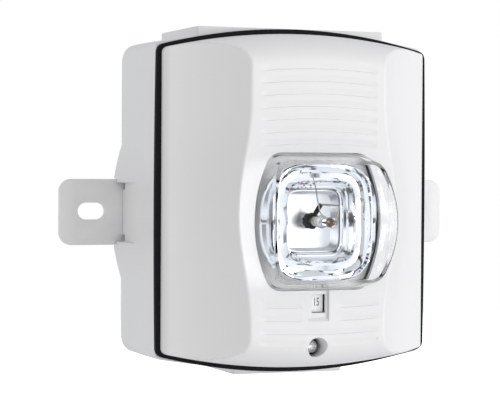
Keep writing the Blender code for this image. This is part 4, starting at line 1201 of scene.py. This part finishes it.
def ramp(tree, source, stops):
    """Grey levels along a value, as (place, level) pairs."""
    node = add_node(tree, "ShaderNodeValToRGB", source)
    elements = node.color_ramp.elements
    while len(elements) < len(stops):
        elements.new(0.5)
    for element, (place, level) in zip(elements, stops):
        element.position = place
        element.color = (level * 0.96, level * 0.98, level, 1.0)
    return node.outputs["Color"]


def build_world():
    """Soft studio.  Mirror-like pieces see softboxes with dark gaps between them."""
    world = bpy.data.worlds.new("studio")
    bpy.context.scene.world = world
    world.use_nodes = True
    tree = world.node_tree
    background = tree.nodes["Background"]
    coords = add_node(tree, "ShaderNodeTexCoord").outputs["Generated"]
    light = add_node(tree, "ShaderNodeLightPath").outputs
    strength = add_node(tree, "ShaderNodeMix", light["Is Camera Ray"])
    feed(tree, strength.inputs[2], direction_level(tree, coords, AMBIENT_SLOPE, AMBIENT_LEVEL))
    feed(tree, strength.inputs[3], 1.0)
    feed(tree, background.inputs["Strength"], strength.outputs[0])
    upright = ramp(tree, direction_level(tree, coords, (0.0, 0.0, 0.5), 0.5), SOFTBOX_ROWS)
    sideways = ramp(tree, direction_level(tree, coords, (0.5, 0.0, 0.0), 0.5), SOFTBOX_COLUMNS)
    softboxes = mix_colours(tree, 1.0, upright, sideways, blend_type="MULTIPLY")
    seen = mix_colours(tree, light["Is Glossy Ray"], (1.0, 1.0, 1.0, 1.0), softboxes)
    feed(tree, background.inputs["Color"], seen)


def area_light(name, place, size, power):
    """Soft box aimed at the part."""
    data = bpy.data.lights.new(name, "AREA")
    data.shape = "RECTANGLE"
    data.size, data.size_y = size
    data.energy = power
    obj = link(name, data)
    obj.location = place
    obj.rotation_mode = "QUATERNION"
    obj.rotation_quaternion = (Vector((0, -0.05, 0)) - obj.location).to_track_quat("-Z", "Y")


def build_camera():
    data = bpy.data.cameras.new("camera")
    data.lens = FOCAL
    data.sensor_width = 36.0
    data.clip_start, data.clip_end = 0.01, 50.0
    az, el = math.radians(AZIMUTH), math.radians(ELEVATION)
    back = Vector((-math.sin(az) * math.cos(el), -math.cos(az) * math.cos(el), math.sin(el)))
    right = Vector((0, 0, 1)).cross(back).normalized()
    up = back.cross(right)
    roll = Matrix.Rotation(math.radians(ROLL_ANGLE), 3, back)
    right, up = roll @ right, roll @ up
    camera = link("camera", data)
    turn = Matrix((right, up, back)).transposed().to_4x4()
    camera.matrix_world = Matrix.Translation(AIM + back * DISTANCE) @ turn
    bpy.context.scene.camera = camera


def build_stage():
    build_floor()
    build_world()
    area_light("key", KEY_PLACE, KEY_SIZE, KEY_POWER)
    build_camera()
    bpy.context.scene.view_settings.view_transform = "Standard"


dress_frame()
build_housing()
build_optics()
build_card()
build_screws()
build_wall_side()
build_stage()
